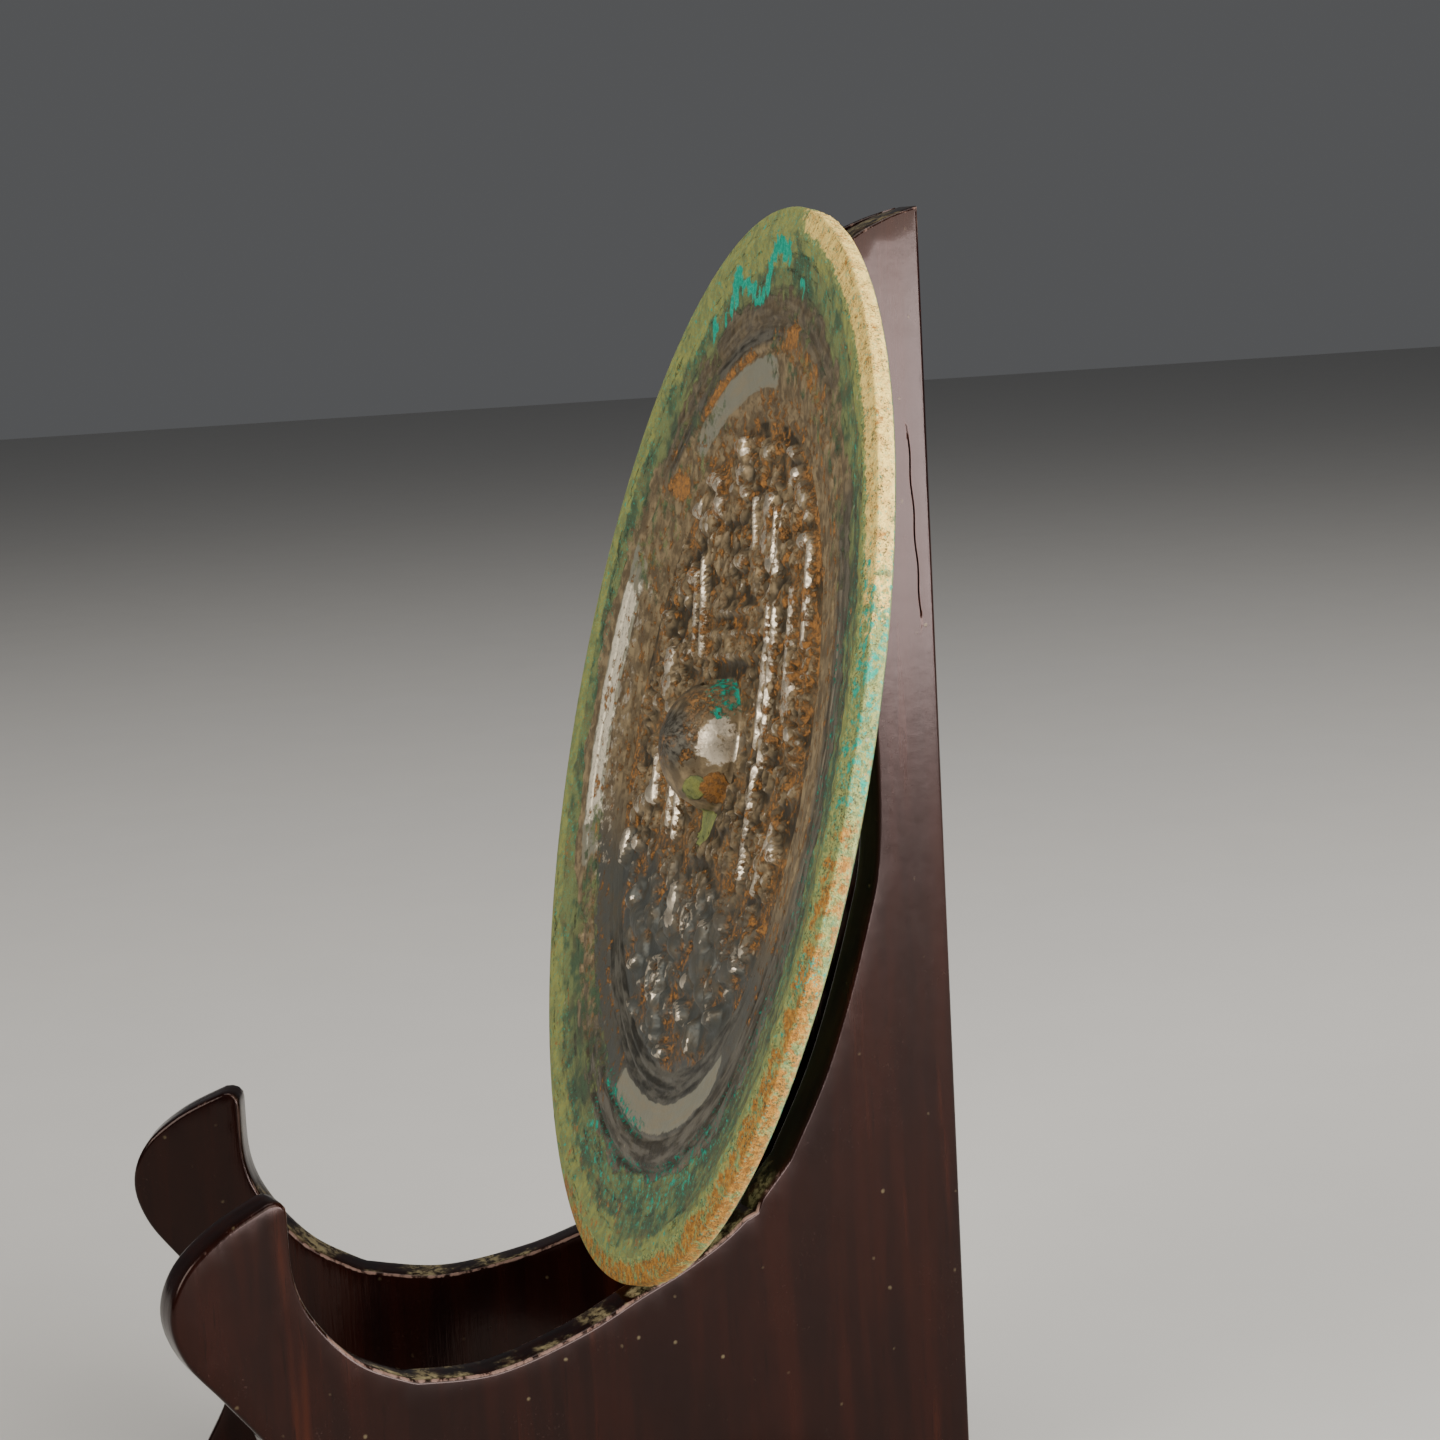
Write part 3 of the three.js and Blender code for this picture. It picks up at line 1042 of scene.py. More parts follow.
@dataclass(frozen=True)
class Figure:
    """A raised figure, drawn for size 1 about its own middle.

    Attributes:
        x: middle, across.
        y: middle, upwards.
        size: its scale.
    """

    x: float
    y: float
    size: float

    def at(self, a: float, b: float) -> Point:
        """Return where a place of the drawing lies on the face."""
        return self.x + a * self.size, self.y + b * self.size

    def boss(self, relief: Relief, a: float, b: float, length: float, width: float, rise: float,
             turn: float = 0.0) -> None:
        """Add one of the drawing's bosses."""
        relief.mound(*self.at(a, b), length * self.size, width * self.size, rise, turn)


@dataclass(frozen=True)
class Deity(Figure):
    """A seated deity seen from the front, about nine millimetres tall at size 1."""

    def carve(self, relief: Relief) -> None:
        """Add the chest, knees, streaming ribbons, sleeves, folds of the robe, and the head.

        Args:
            relief: the relief that it stands on.
        """
        s = self.size
        ribbons = ((4.4, 0.6, 1.9, 2.6, 0.8, 1.0), (3.4, 3.4, 1.5, 2.2, 0.7, 0.9))
        self.boss(relief, 0.0, 0.0, 3.0, 2.4, 1.7)
        for side in (-1, 1):
            self.boss(relief, side * 2.8, -2.4, 2.6, 1.3, 1.36, -0.35 * side)
            start = math.pi * (1 - side) / 2
            for a, b, radius, sweep, width, rise in ribbons:
                relief.arc(*self.at(side * a, b), radius * s, start, side * sweep, width * s, rise)
            sleeve = [self.at(side * 0.4, 1.4), self.at(side * 2.3, -0.5), self.at(side, -2.2)]
            relief.groove(bezier(sleeve, 6), 0.75, 0.45)
        for k in (-1, 0, 1):
            fold = np.array([self.at(-2.2, -1.5), self.at(0.0, -2.4), self.at(2.2, -1.5)]) + [0, k]
            relief.groove(bezier(fold, 6), 0.7, 0.35)
        self.head(relief)

    def head(self, relief: Relief) -> None:
        """Add a head of plain proportions: an oval and a cap, with level brows and a small mouth.

        Args:
            relief: the relief that it stands on.
        """
        self.boss(relief, 0.0, 2.9, 1.7, 1.8, 2.2)
        self.boss(relief, 0.0, 4.4, 1.5, 0.7, 2.3)
        brows = ((-1.0, -0.35, 3.25, 0.45, 0.18), (0.35, 1.0, 3.25, 0.45, 0.18))
        mouth = (-0.4, 0.4, 2.1, 0.4, 0.15)
        for start, end, b, width, depth in (*brows, mouth):
            relief.groove(np.array([self.at(start, b), self.at(end, b)]), width, depth)


@dataclass(frozen=True)
class Beast(Figure):
    """A crouching beast seen from the side, about eleven millimetres long at size 1.

    Attributes:
        facing: 1 if it looks towards +x, -1 if it looks towards -x.
    """

    facing: int

    def carve(self, relief: Relief) -> None:
        """Add the body, head, muzzle, ear, haunch, foreleg, curled tail and ribs.

        Args:
            relief: the relief that it stands on.
        """
        s, f = self.size, self.facing
        for a, b, length, width, rise, turn in (
            (0.0, 0.0, 4.2, 1.9, 1.7, 0.3), (4.2, 2.1, 1.8, 1.6, 2.2, 0.0),
            (5.7, 1.5, 0.9, 0.7, 1.7, 0.0), (3.6, 3.8, 0.6, 0.9, 1.6, 0.4),
            (-3.4, -2.4, 1.3, 1.9, 1.2, 0.5), (2.6, -1.9, 0.9, 1.8, 1.2, -0.25),
        ):
            self.boss(relief, f * a, b, length, width, rise, f * turn)
        relief.curl(*self.at(-f * 4.8, 2.0), 1.9 * s, 0.0, -f, 0.75 * s, 1.2)
        for foot in 1.35 * np.arange(-2, 3):
            rib = [self.at(f * foot, -1.7), self.at(f * (foot + 0.8), 0.0), self.at(f * foot, 1.8)]
            relief.groove(bezier(rib, 5), 0.6, 0.4)


@dataclass(frozen=True)
class Fillet:
    """A straight raised line between the figures: middle, length, width and turn.

    A line turned above 0 is one of the tablet's level lines, which stand lower than the rest.
    """

    x: float
    y: float
    length: float
    width: float
    angle: float

    def carve(self, relief: Relief) -> None:
        """Put the line on the relief."""
        relief.bar(self.x, self.y, self.length, self.width, self.angle, 1.0 if self.angle > 0.0 else 1.45)


@dataclass(frozen=True)
class Place:
    """Where the casting's points lie: millimetres on its own axes, angles in degrees.

    Attributes:
        x: across.
        y: up the face.
        z: out of the face.
        r: distance from the axis.
        angle: anticlockwise from +x, -180 to 180.
        dome: rows of x, y and height over the field, in shares of the knob's own size.
        front: which points are on the face.
        carved: which points are on the carved field.
        side: mask of the outer side, where it is crusted.
        rear: which points are on the back.
        uneven: slow noise of 0 to 1.
    """

    x: Array
    y: Array
    z: Array
    r: Array
    angle: Array
    dome: Array
    front: Array
    carved: Array
    side: Array
    rear: Array
    uneven: Array

    def ring(self, low: float, high: float, soft: float) -> Array:
        """Mask a ring of the face between two radii, with soft edges."""
        return smooth(low - soft, low, self.r) * smooth(high + soft, high, self.r) * self.front

    def sector(self, low: float, high: float, soft: float = 9.0) -> Array:
        """Mask a sector between two angles, with soft edges."""
        away = np.abs((self.angle - (low + high) / 2.0 + 180.0) % 360.0 - 180.0)
        return smooth((high - low) / 2.0 + soft, (high - low) / 2.0, away)

    def spot(self, x: float, y: float, wide: float, tall: float) -> Array:
        """Mask a soft oval spot of the face: exp(-(x/wide)^2 - (y/tall)^2) about its middle."""
        return np.exp(-((self.x - x) / wide) ** 2 - ((self.y - y) / tall) ** 2) * self.front


@dataclass(frozen=True)
class Arc:
    """A patch that follows a ring of the face.

    Attributes:
        strength: the mask in its middle.
        radii: the ring's two radii.
        soft: width of their fade.
        angles: its two ends.
        fade: width of their fade, in degrees.
    """

    strength: float
    radii: Span
    soft: float
    angles: Span = (-180.0, 180.0)
    fade: float = 9.0

    def mask(self, p: Place) -> Array:
        """Return the patch's mask."""
        return self.strength * p.ring(*self.radii, self.soft) * p.sector(*self.angles, self.fade)


@dataclass(frozen=True)
class RimArc:
    """A patch of the face's rim, out to its edge.

    Attributes:
        strength: the mask in its middle.
        radii: where it starts and where it is full.
        angles: its two ends.
    """

    strength: float
    radii: Span
    angles: Span = (-180.0, 180.0)

    def mask(self, p: Place) -> Array:
        """Return the patch's mask."""
        return self.strength * smooth(*self.radii, p.r) * p.front * p.sector(*self.angles)


@dataclass(frozen=True)
class KnobSpot:
    """A round patch on the knob's right flank, placed along two directions that lie in the flank.

    Attributes:
        back: from the knob's top towards the plate, in shares of its radius.
        up: up along the face, in the same shares.
        size: the patch's radius.
        strength: the mask in its middle.
        foot: distance from the axis where the knob ends.
    """

    back: float
    up: float
    size: float
    strength: float
    foot: float = 8.35

    def mask(self, p: Place) -> Array:
        """Measure the points along both directions and fade the patch from its middle.

        Args:
            p: the points' places.

        Returns:
            The patch's mask.
        """
        back, up = np.array([0.24, 0.19, -0.95]) @ p.dome, np.array([-0.13, 0.98, 0.15]) @ p.dome
        soft = smooth(1.5 * self.size, 0.5 * self.size, np.hypot(back - self.back, up - self.up))
        knob = p.front & (p.r < self.foot) & (p.dome[0] > -0.35)
        return np.where(knob, self.strength * soft, 0.0)


Patches = tuple[Arc | RimArc | KnobSpot, ...]


@dataclass(frozen=True)
class Weathering:
    """Masks of 0 to 1 over the casting: where it is worn, crusted, green, ochre, pale or bluish, and where
    highlights and shade are painted.

    Attributes:
        place: where the points lie.
        relief: their height over the bare face, in millimetres.
        bulge: their height over the smoothed relief around them.
        painted_glints: middle and reach of rubbed spots that are painted as highlights.
        polished_and_highlit: the rubbed arcs of the border and the crown of the knob, painted as highlights.
        knob_shade: painted shade on the knob's left and upper flanks.
        creeping: where the rim's crust creeps inwards.
        bare_band: where the smooth band and the rim's inner slope lie clean; its arc on the left holds the
            painted highlight.
        greened: verdigris along the rings and on the knob.
        strokes: middle lines and widths of the bright verdigris near the top.
        earthed: earth in the ring grooves, on the slopes and on the knob.
        yellowed: yellow-green patches of the rim.
        darkened_and_shaded: dark bare metal inside the rim, with painted shade on the inner slope's lower arc
            and the knob's left flank.
    """

    place: Place
    relief: Array
    bulge: Array
    # Spots where the rubbed metal is painted as a highlight.
    painted_glints: tuple[tuple[float, float, float], ...] = (
        (29.4, 21.4, 5.0), (-25.8, 27.2, 3.0), (-13.6, 32.7, 2.6), (12.5, 37.6, 2.4), (10.8, 22.2, 2.2),
        (-17.0, 15.5, 4.0), (16.3, 10.5, 6.0), (-8.6, 28.0, 2.0), (-13.5, -9.0, 4.0), (-23.7, -8.0, 3.0),
        (-3.4, -20.9, 2.4), (8.4, -27.8, 2.2), (24.6, -19.3, 2.6), (21.4, -9.0, 4.0), (-29.0, -17.0, 3.0),
        (-12.0, -31.0, 2.2), (33.0, 9.0, 3.0), (-26.0, 8.0, 3.4),
    )
    # Painted highlights: the arcs at the left and at r 40, and the crown of the knob.
    polished_and_highlit: Patches = (
        Arc(1.0, (49.2, 53.2), 1.0, (166.0, 198.0), 5.0), Arc(0.40, (43.8, 48.8), 1.2, (162.0, 208.0)),
        Arc(0.5, (39.7, 40.3), 0.3, (20.0, 52.0)), KnobSpot(-0.02, 0.10, 0.40, 0.66),
        KnobSpot(-0.30, 0.02, 0.24, 0.5),
    )
    # Painted shade on the knob's left and upper flanks.
    knob_shade: Patches = (KnobSpot(-0.78, 0.15, 0.42, 0.9), KnobSpot(-0.4, 0.8, 0.4, 0.8))
    creeping: Patches = (
        Arc(0.5, (47.0, 53.0), 1.0, (-160.0, -112.0)), Arc(0.44, (42.0, 57.0), 1.5, (118.0, 160.0)),
        Arc(0.43, (45.0, 57.0), 2.0, (28.0, 92.0)), KnobSpot(-0.42, -0.6, 0.2, 0.9),
    )
    bare_band: Patches = (
        Arc(1.0, (43.9, 47.5), 0.35, (93.0, 126.0)), Arc(1.0, (43.9, 47.5), 0.35, (-98.0, -50.0)),
        Arc(0.12, (43.9, 47.5), 0.35), Arc(1.0, (48.6, 53.8), 1.0, (162.0, 202.0)),
    )
    greened: Patches = (
        RimArc(0.27, (55.0, 57.0)), Arc(0.44, (46.4, 48.4), 0.8, (-106.0, -86.0)),
        Arc(0.36, (51.5, 57.0), 1.0, (-106.0, -45.0)), Arc(0.30, (51.5, 56.0), 1.0, (-45.0, 20.0)),
        KnobSpot(0.12, 0.80, 0.36, 0.50), KnobSpot(-0.03, 0.5, 0.14, 0.6), KnobSpot(0.3, -0.1, 0.1, 0.4),
    )
    strokes: tuple[tuple[tuple[Point, ...], float], ...] = (
        (((-22.0, 51.6), (-20.0, 54.0), (-18.0, 57.4)), 1.5),
        (((-18.5, 56.6), (-13.2, 55.8), (-9.2, 53.8)), 1.4),
        (((-9.2, 53.8), (-5.8, 55.2), (-4.2, 58.0), (-2.6, 60.4)), 1.3),
        (((-1.0, 60.6), (4.0, 59.7)), 1.9),
        (((-27.6, 50.0), (-26.4, 50.5)), 1.5),
        (((9.6, 56.6), (11.0, 55.4)), 1.0),
    )
    earthed: Patches = (
        Arc(0.62, (47.9, 49.4), 0.5, (104.0, 124.0)), Arc(0.46, (47.5, 51.0), 0.8, (60.0, 90.0)),
        Arc(0.37, (40.0, 51.0), 0.8, (-30.0, 75.0)), Arc(0.40, (40.0, 44.0), 0.6, (60.0, 130.0)),
        Arc(0.36, (40.0, 53.0), 1.0, (128.0, 200.0)), Arc(0.34, (43.0, 51.0), 1.0, (-160.0, -106.0)),
        RimArc(0.30, (55.0, 57.0), (-20.0, 60.0)), RimArc(0.33, (55.0, 57.0), (-165.0, -70.0)),
        KnobSpot(-0.09, -0.6, 0.24, 0.95), KnobSpot(-0.5, -0.2, 0.2, 0.48),
    )
    yellowed: Patches = (
        RimArc(0.85, (61.6, 63.0)), RimArc(0.62, (55.5, 60.0), (-142.0, -84.0)),
        RimArc(0.66, (57.5, 61.0), (130.0, 225.0)), RimArc(0.62, (54.5, 60.0), (86.0, 132.0)),
        RimArc(0.60, (58.0, 61.0), (-80.0, 80.0)), KnobSpot(-0.42, -0.6, 0.2, 0.9),
    )
    # Dark bare metal; the inner slope's lower arc and the knob's left flank are painted shade.
    darkened_and_shaded: Patches = (
        Arc(0.95, (49.2, 50.8), 0.4, (90.0, 138.0)), Arc(0.9, (47.9, 52.5), 0.5, (-118.0, -20.0)),
        Arc(0.8, (50.5, 61.0), 1.5, (-48.0, 34.0)), Arc(0.85, (39.6, 43.4), 0.5, (-130.0, -40.0)),
        Arc(0.55, (51.0, 56.0), 1.0, (60.0, 140.0)), Arc(0.45, (51.0, 59.0), 1.5, (-125.0, -60.0)),
        KnobSpot(-0.85, 0.15, 0.42, 0.9),
    )

    def over(self, patches: Patches, *layers: Array) -> Array:
        """Lay patches and whole layers over each other; the strongest shows."""
        return highest(*layers, *(patch.mask(self.place) for patch in patches))

    def attributes(self) -> dict[str, tuple[Array, Array, Array]]:
        """Return the colour attributes' names and their three channels."""
        return {"zone": self.zones(), "crust": self.crusts(), "wear": self.wear(), "tone": self.tones()}

    def wear(self) -> tuple[Array, Array, Array]:
        """Mask the polished tops, the hollows and the bluish ground of the lowest rows.

        Tops are worn by their height, by how sharply they stand out, and more at the glints; they carry
        painted highlights, and the hollows and the knob's flanks carry painted shade.

        Returns:
            The three masks.
        """
        p = self.place
        glint = sum(np.exp(-((p.x - x) ** 2 + (p.y - y) ** 2) / reach**2) for x, y, reach in self.painted_glints)
        rubbed = 0.16 + (0.12 + 0.30 * p.uneven) * smooth(-18.0, -8.0, p.y) + np.clip(glint, 0.0, 1.0)
        tops = p.carved * (smooth(0.8, 1.35, self.relief) * rubbed + 0.45 * smooth(0.08, 0.28, self.bulge))
        hollow = p.carved * (smooth(0.7, 0.1, self.relief) + smooth(0.04, 0.2, -self.bulge))
        blue = 0.8 * smooth(-7.0, -25.0, p.y + 3.0 * (p.uneven - 0.5)) * (p.front & (p.r < 48.0))
        # The worn tops carry painted highlights; the hollows and the knob's flanks carry painted shade.
        return self.over(self.polished_and_highlit, tops), self.over(self.knob_shade, hollow), blue

    def tongue(self) -> Array:
        """Mask the green run below the knob, which narrows downwards.

        Returns:
            The mask.
        """
        p = self.place
        run = smooth(-15.5, -10.5, p.y) * smooth(-7.0, -8.4, p.y)
        return run * (np.abs(p.x - 0.8) < 0.45 * (p.y + 15.8)) * p.front * (p.r < 20.0)

    def zones(self) -> tuple[Array, Array, Array]:
        """Mask the crusted rim, the smooth band where it lies clean, and the outer side.

        Returns:
            The three masks.
        """
        p = self.place
        shift = 2.2 * (p.uneven - 0.5) + 2.0 * p.sector(-150.0, -60.0) - 2.0 * p.sector(158.0, 206.0)
        crusted = np.where(p.front, smooth(53.4, 57.0, p.r + shift), 1.0)
        return self.over(self.creeping, crusted, self.tongue()), self.over(self.bare_band), p.side

    def crusts(self) -> tuple[Array, Array, Array]:
        """Mask the bright verdigris, the ochre earth and the pale crust.

        Returns:
            The three masks.
        """
        p = self.place
        edge = smooth(61.9, 62.8, p.r) * (p.z > 0.0) * (p.x > -20.0)
        belt = smooth(-5.0, 5.0, p.y) * smooth(38.0, 24.0, p.y)
        low_belt = 0.9 * smooth(4.0, 1.5, np.abs(p.y + 15.0))
        green = self.over(
            self.greened, edge * highest(0.42 * belt, 0.42 * low_belt, 0.20 * np.ones_like(edge)),
            0.85 * self.verdigris(), 0.27 * p.rear,
        )
        ochre = 0.34 + 0.08 * smooth(14.0, 34.0, p.x) + 0.06 * smooth(-6.0, 14.0, p.y)
        soil = self.over(
            self.earthed, edge * (0.30 + 0.22 * smooth(4.0, -6.0, p.y) + 0.06 * smooth(-20.0, -40.0, p.y)),
            0.95 * p.spot(-36.0, 29.5, 4.6, 2.3), 0.7 * p.spot(8.0, 50.0, 4.5, 2.4),
            p.carved * ochre * smooth(-30.0, -15.0, p.y),
            0.25 * smooth(55.0, 57.0, p.r) * p.front * smooth(0.5, 0.8, p.uneven), 0.29 * p.rear,
        )
        pale = p.side * np.where(p.r < 62.9, 0.3, 0.78) * (0.16 + 0.84 * smooth(8.0, 36.0, p.y))
        return green, soil, pale

    def tones(self) -> tuple[Array, Array, Array]:
        """Mask the rim's yellow-green patches, the dark bare metal inside it with painted shade on the inner
        slope's lower arc and the knob's left flank, and the bright back edge.

        Returns:
            The three masks.
        """
        p = self.place
        lime = self.over(self.yellowed, 0.36 * p.rear, self.tongue())
        return lime, self.over(self.darkened_and_shaded), 0.15 * p.side * (p.z < 0.30) * (p.z > -0.2)

    def verdigris(self) -> Array:
        """Mask the bright corrosion near the top: strokes of uneven width, 1 on their middle line.

        Returns:
            The mask.
        """
        p = self.place
        total = np.zeros_like(p.x)
        near = p.front & (p.y > 44.0)
        wobble = 0.55 * Ripple(31, 3.0)(p.x[near], p.y[near])
        for path, width in self.strokes:
            away, _ = path_distance(p.x[near], p.y[near], np.array(path))
            total[near] = np.maximum(total[near], smooth(width, 0.35 * width, away + wobble))
        return total


@dataclass
class MirrorCasting:
    """The cast mirror, as one closed surface: carved face, knob, rim, side and domed plain back.

    Lengths are millimetres on the mirror's own axes: x across, y up the face, z out of the face, with
    z = 0 at the plane of the back edge. A pair is a radius and a height.

    Attributes:
        lean: how far the face leans back.
        sagitta: depth of the back's dome.
        edge_height, edge_round, edge_step: the edge's thickness, its rounding and the rounding's first step.
        ridge, rim_hollow, rim_foot: the rim's highest line, its shallow hollow and its inner foot.
        band_top, band_foot, field_edge: the smooth band's two lines and the edge of the sunk field.
        field_centre: height of the field's middle.
        ring_grooves: radius and depth of the two grooves beside the band.
        rib: depth and pitch of the fine ribs round the field.
        knob_radius, knob_height: the knob.
        cord_hole: the cord hole's radius, and its height over the field's middle.
        wear_level: height over which the relief is worn down by half.
        knob_rings, field_rings: rings of points over the knob, and from it to the band.
        border_rings: outer radius and number of rings of each stretch of the border.
        deities, beasts, fillets: what is carved on the field.
        radius, centre: the disc's radius, and where its origin lies, both from the plain solid.
    """

    lean: float = math.radians(14.2)
    sagitta: float = 3.4
    edge_height: float = 2.1
    edge_round: float = 0.25
    edge_step: float = 0.08
    ridge: Span = (62.0, 2.65)
    rim_hollow: Span = (56.9, 1.65)
    rim_foot: Span = (51.8, 1.05)
    band_top: Span = (48.2, 0.65)
    band_foot: Span = (43.4, -0.3)
    field_edge: Span = (39.6, -1.05)
    field_centre: float = -1.9
    ring_grooves: tuple[Span, ...] = ((48.2, 0.30), (51.9, 0.34))
    rib: Span = (0.15, 1.3)
    knob_radius: float = 8.2
    knob_height: float = 7.5
    cord_hole: Span = (1.5, 2.1)
    wear_level: float = 1.2
    knob_rings: int = 21
    field_rings: int = 85
    border_rings: tuple[tuple[float, int], ...] = (
        (47.7, 5), (48.7, 5), (51.4, 3), (52.4, 5), (61.5, 8), (62.4, 3), (64.9, 3),
    )
    deities: tuple[Deity, ...] = (
        Deity(7, 26, 1.1), Deity(-9, 33, 0.9), Deity(-27, 4, 1.0), Deity(29, 8, 0.9),
        Deity(-4, -23, 1.0), Deity(12, -25, 1.1), Deity(-3, -35, 0.7),
    )
    beasts: tuple[Beast, ...] = (
        Beast(-21, 26, 1.0, 1), Beast(20, 32, 0.9, -1), Beast(-27, 17, 0.8, 1), Beast(31, -9, 0.8, 1),
        Beast(-28, -12, 0.9, 1), Beast(-19, -26, 1.0, -1), Beast(25, -23, 0.9, 1),
    )
    fillets: tuple[Fillet, ...] = (
        Fillet(0.8, 11.2, 25, 1.05, 0.13), Fillet(1.0, 14.0, 28, 1.05, 0.13),
        Fillet(0.8, 16.8, 29, 1.05, 0.13), Fillet(16.3, 10.5, 17, 1.25, -1.27),
        Fillet(19.3, 9.6, 19, 1.15, -1.27), Fillet(21.4, -6.0, 13, 1.15, -1.35),
        Fillet(-16.6, 15.4, 13, 1.25, -1.1), Fillet(-19.4, 14.2, 11, 1.15, -1.1),
        Fillet(25.4, 14.6, 15, 1.25, -1.17), Fillet(-11.5, -9.5, 8, 1.45, -1.22),
        Fillet(-15.0, -9.0, 7, 1.45, -1.22), Fillet(-23.7, -8.0, 6, 1.45, -1.2),
        Fillet(29.4, 21.4, 12, 1.75, -1.17), Fillet(1.7, 27.0, 7.5, 1.25, -1.1),
        Fillet(11.0, 27.0, 6, 1.25, -1.3), Fillet(31.5, -8.5, 9, 1.15, -1.9),
    )
    radius: float = field(init=False)
    centre: Array = field(init=False)

    def __post_init__(self) -> None:
        """Take the radius and the place from the plain solid's box."""
        low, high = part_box("mirror")
        self.radius = (high.x - low.x) / 2.0 / MM
        up, back = math.cos(self.lean), math.sin(self.lean)
        rim = np.array([
            (self.radius, self.edge_height - self.edge_round),
            (self.radius - self.edge_round, self.edge_height),
            self.ridge,
            (self.radius, self.edge_round),
        ])
        top = (rim[:, 0] * up + rim[:, 1] * back).max()
        rear = (rim[:, 0] * back - rim[:, 1] * up).max()
        self.centre = np.array([(high.x + low.x) / 2.0 / MM, high.y / MM - rear, high.z / MM - top])

    def ring_radii(self) -> Array:
        """Space the rings: by equal angles over the knob, evenly over the field, closer at the grooves.

        Returns:
            The radii, from 0 outwards.
        """
        rings = [self.knob_radius * np.sin(np.linspace(0.0, UPRIGHT, self.knob_rings))]
        start = self.knob_radius
        for end, count in ((self.band_foot[0], self.field_rings - 1), *self.border_rings):
            rings.append(np.linspace(start, end, count + 1)[1:])
            start = end
        rings.append(self.radius - np.array([self.edge_round, self.edge_step, 0.0]))
        return np.concatenate(rings)

    def plate(self, r: Array) -> Array:
        """Height of the bare face: a shallow dish with a stepped border, two ring grooves and fine ribs.

        Inside the field edge the height is centre + rise * (r/edge)^2; outside it runs straight between
        the section's corners. A rib is one wave of a sine.

        Args:
            r: distances from the axis.

        Returns:
            The heights.
        """
        edge_r, edge_z = self.field_edge
        dish = self.field_centre + (edge_z - self.field_centre) * np.clip(r / edge_r, 0.0, 1.0) ** 2
        corners = np.array([
            self.field_edge, self.band_foot, self.band_top, self.rim_foot, self.rim_hollow, self.ridge,
            (self.radius - self.edge_round, self.edge_height),
            (self.radius - self.edge_step, self.edge_height - 0.07),
            (self.radius, self.edge_height - self.edge_round),
        ])
        height = np.where(r < edge_r, dish, np.interp(r, corners[:, 0], corners[:, 1]))
        for where, depth in self.ring_grooves:
            height = height - depth * smooth(0.45, 0.0, np.abs(r - where))
        depth, pitch = self.rib
        ribs = np.sin((r - edge_r) * WHOLE_TURN / pitch) * smooth(0.0, 0.6, r - edge_r)
        return height - depth * ribs * smooth(43.6, 42.8, r)

    def carve(self, x: Array, y: Array) -> Array:
        """Build the field's relief: fillets, beasts, deities, tablet, and small filling work.

        Args:
            x: the points' x.
            y: the points' y.

        Returns:
            The height over the bare field, in millimetres.
        """
        relief = Relief(x, y)
        for part in (*self.fillets, *self.beasts, *self.deities):
            part.carve(relief)
        for work in (self.upper_work, self.middle_work, self.lower_work, self.filling):
            work(relief)
        return relief.height

    @staticmethod
    def upper_work(relief: Relief) -> None:
        """Add the canopy over the upper deity, its two posts, and the oblong bosses along the top.

        Args:
            relief: the relief.
        """
        for x in (5.0, 13.4):
            relief.bar(x, 26.5, 8.0, 1.1, UPRIGHT, 1.3)
        relief.arc(9.2, 23.0, 4.3, math.pi, math.pi, 1.0, 1.2)
        for x, y in ((-26, 27), (-19, 31), (-11, 36.3), (1, 36), (13, 37), (-22, 31.5), (-3, 22.5), (24, 27)):
            relief.mound(x, y, 2.3, 1.2, 1.8, 0.1, 0.4)
        relief.comb(-14, 22.0, 0.0, 9, 1.25, 2.2, 0.8)
        relief.comb(24.5, 21.5, 0.3, 6, 1.2, 2.0, 0.8)

    @staticmethod
    def middle_work(relief: Relief) -> None:
        """Add short strokes that are no letters on the tablet, rungs between the posts, curls and wings.

        Args:
            relief: the relief.
        """
        slope = 0.13
        for row, y in enumerate((12.4, 15.2)):
            for k in range(9):
                x = -9.0 + k * 2.6
                relief.bar(x, y + slope * x, 1.2, 0.55, 0.35 * math.sin(3.1 * k + row), 0.55)
                relief.bar(x + 0.5, y + 0.45 + slope * x, 0.9, 0.5, UPRIGHT, 0.5)
        curls = ((25.5, 14.5, 2.2), (24.0, 4.0, 2.3), (34.5, 14.0, 2.1),
                 (-33.5, 11.5, 2.0), (-21.5, 9.5, 2.0), (-21.0, -3.0, 2.1))
        for turn, (x, y, size) in enumerate(curls):
            relief.curl(x, y, size, 1.7 * turn, 1 if turn % 2 else -1, 0.85, 1.2)
        for comb in (
            (17.9, 9.5, -1.27, 7, 2.2, 2.2, 0.75), (-18.0, 14.6, -1.10, 5, 2.1, 2.0, 0.75),
            (34.0, 6.5, UPRIGHT + 0.1, 7, 1.25, 4.4, 0.9), (-34.0, 1.0, UPRIGHT - 0.1, 6, 1.25, 3.6, 0.9),
        ):
            relief.comb(*comb)
        relief.mound(-32, -18.5, 1.5, 2.8, 1.7, 0.0, 0.3)
        relief.mound(-27, -17, 1.5, 1.3, 1.5, 0.0, 0.3)

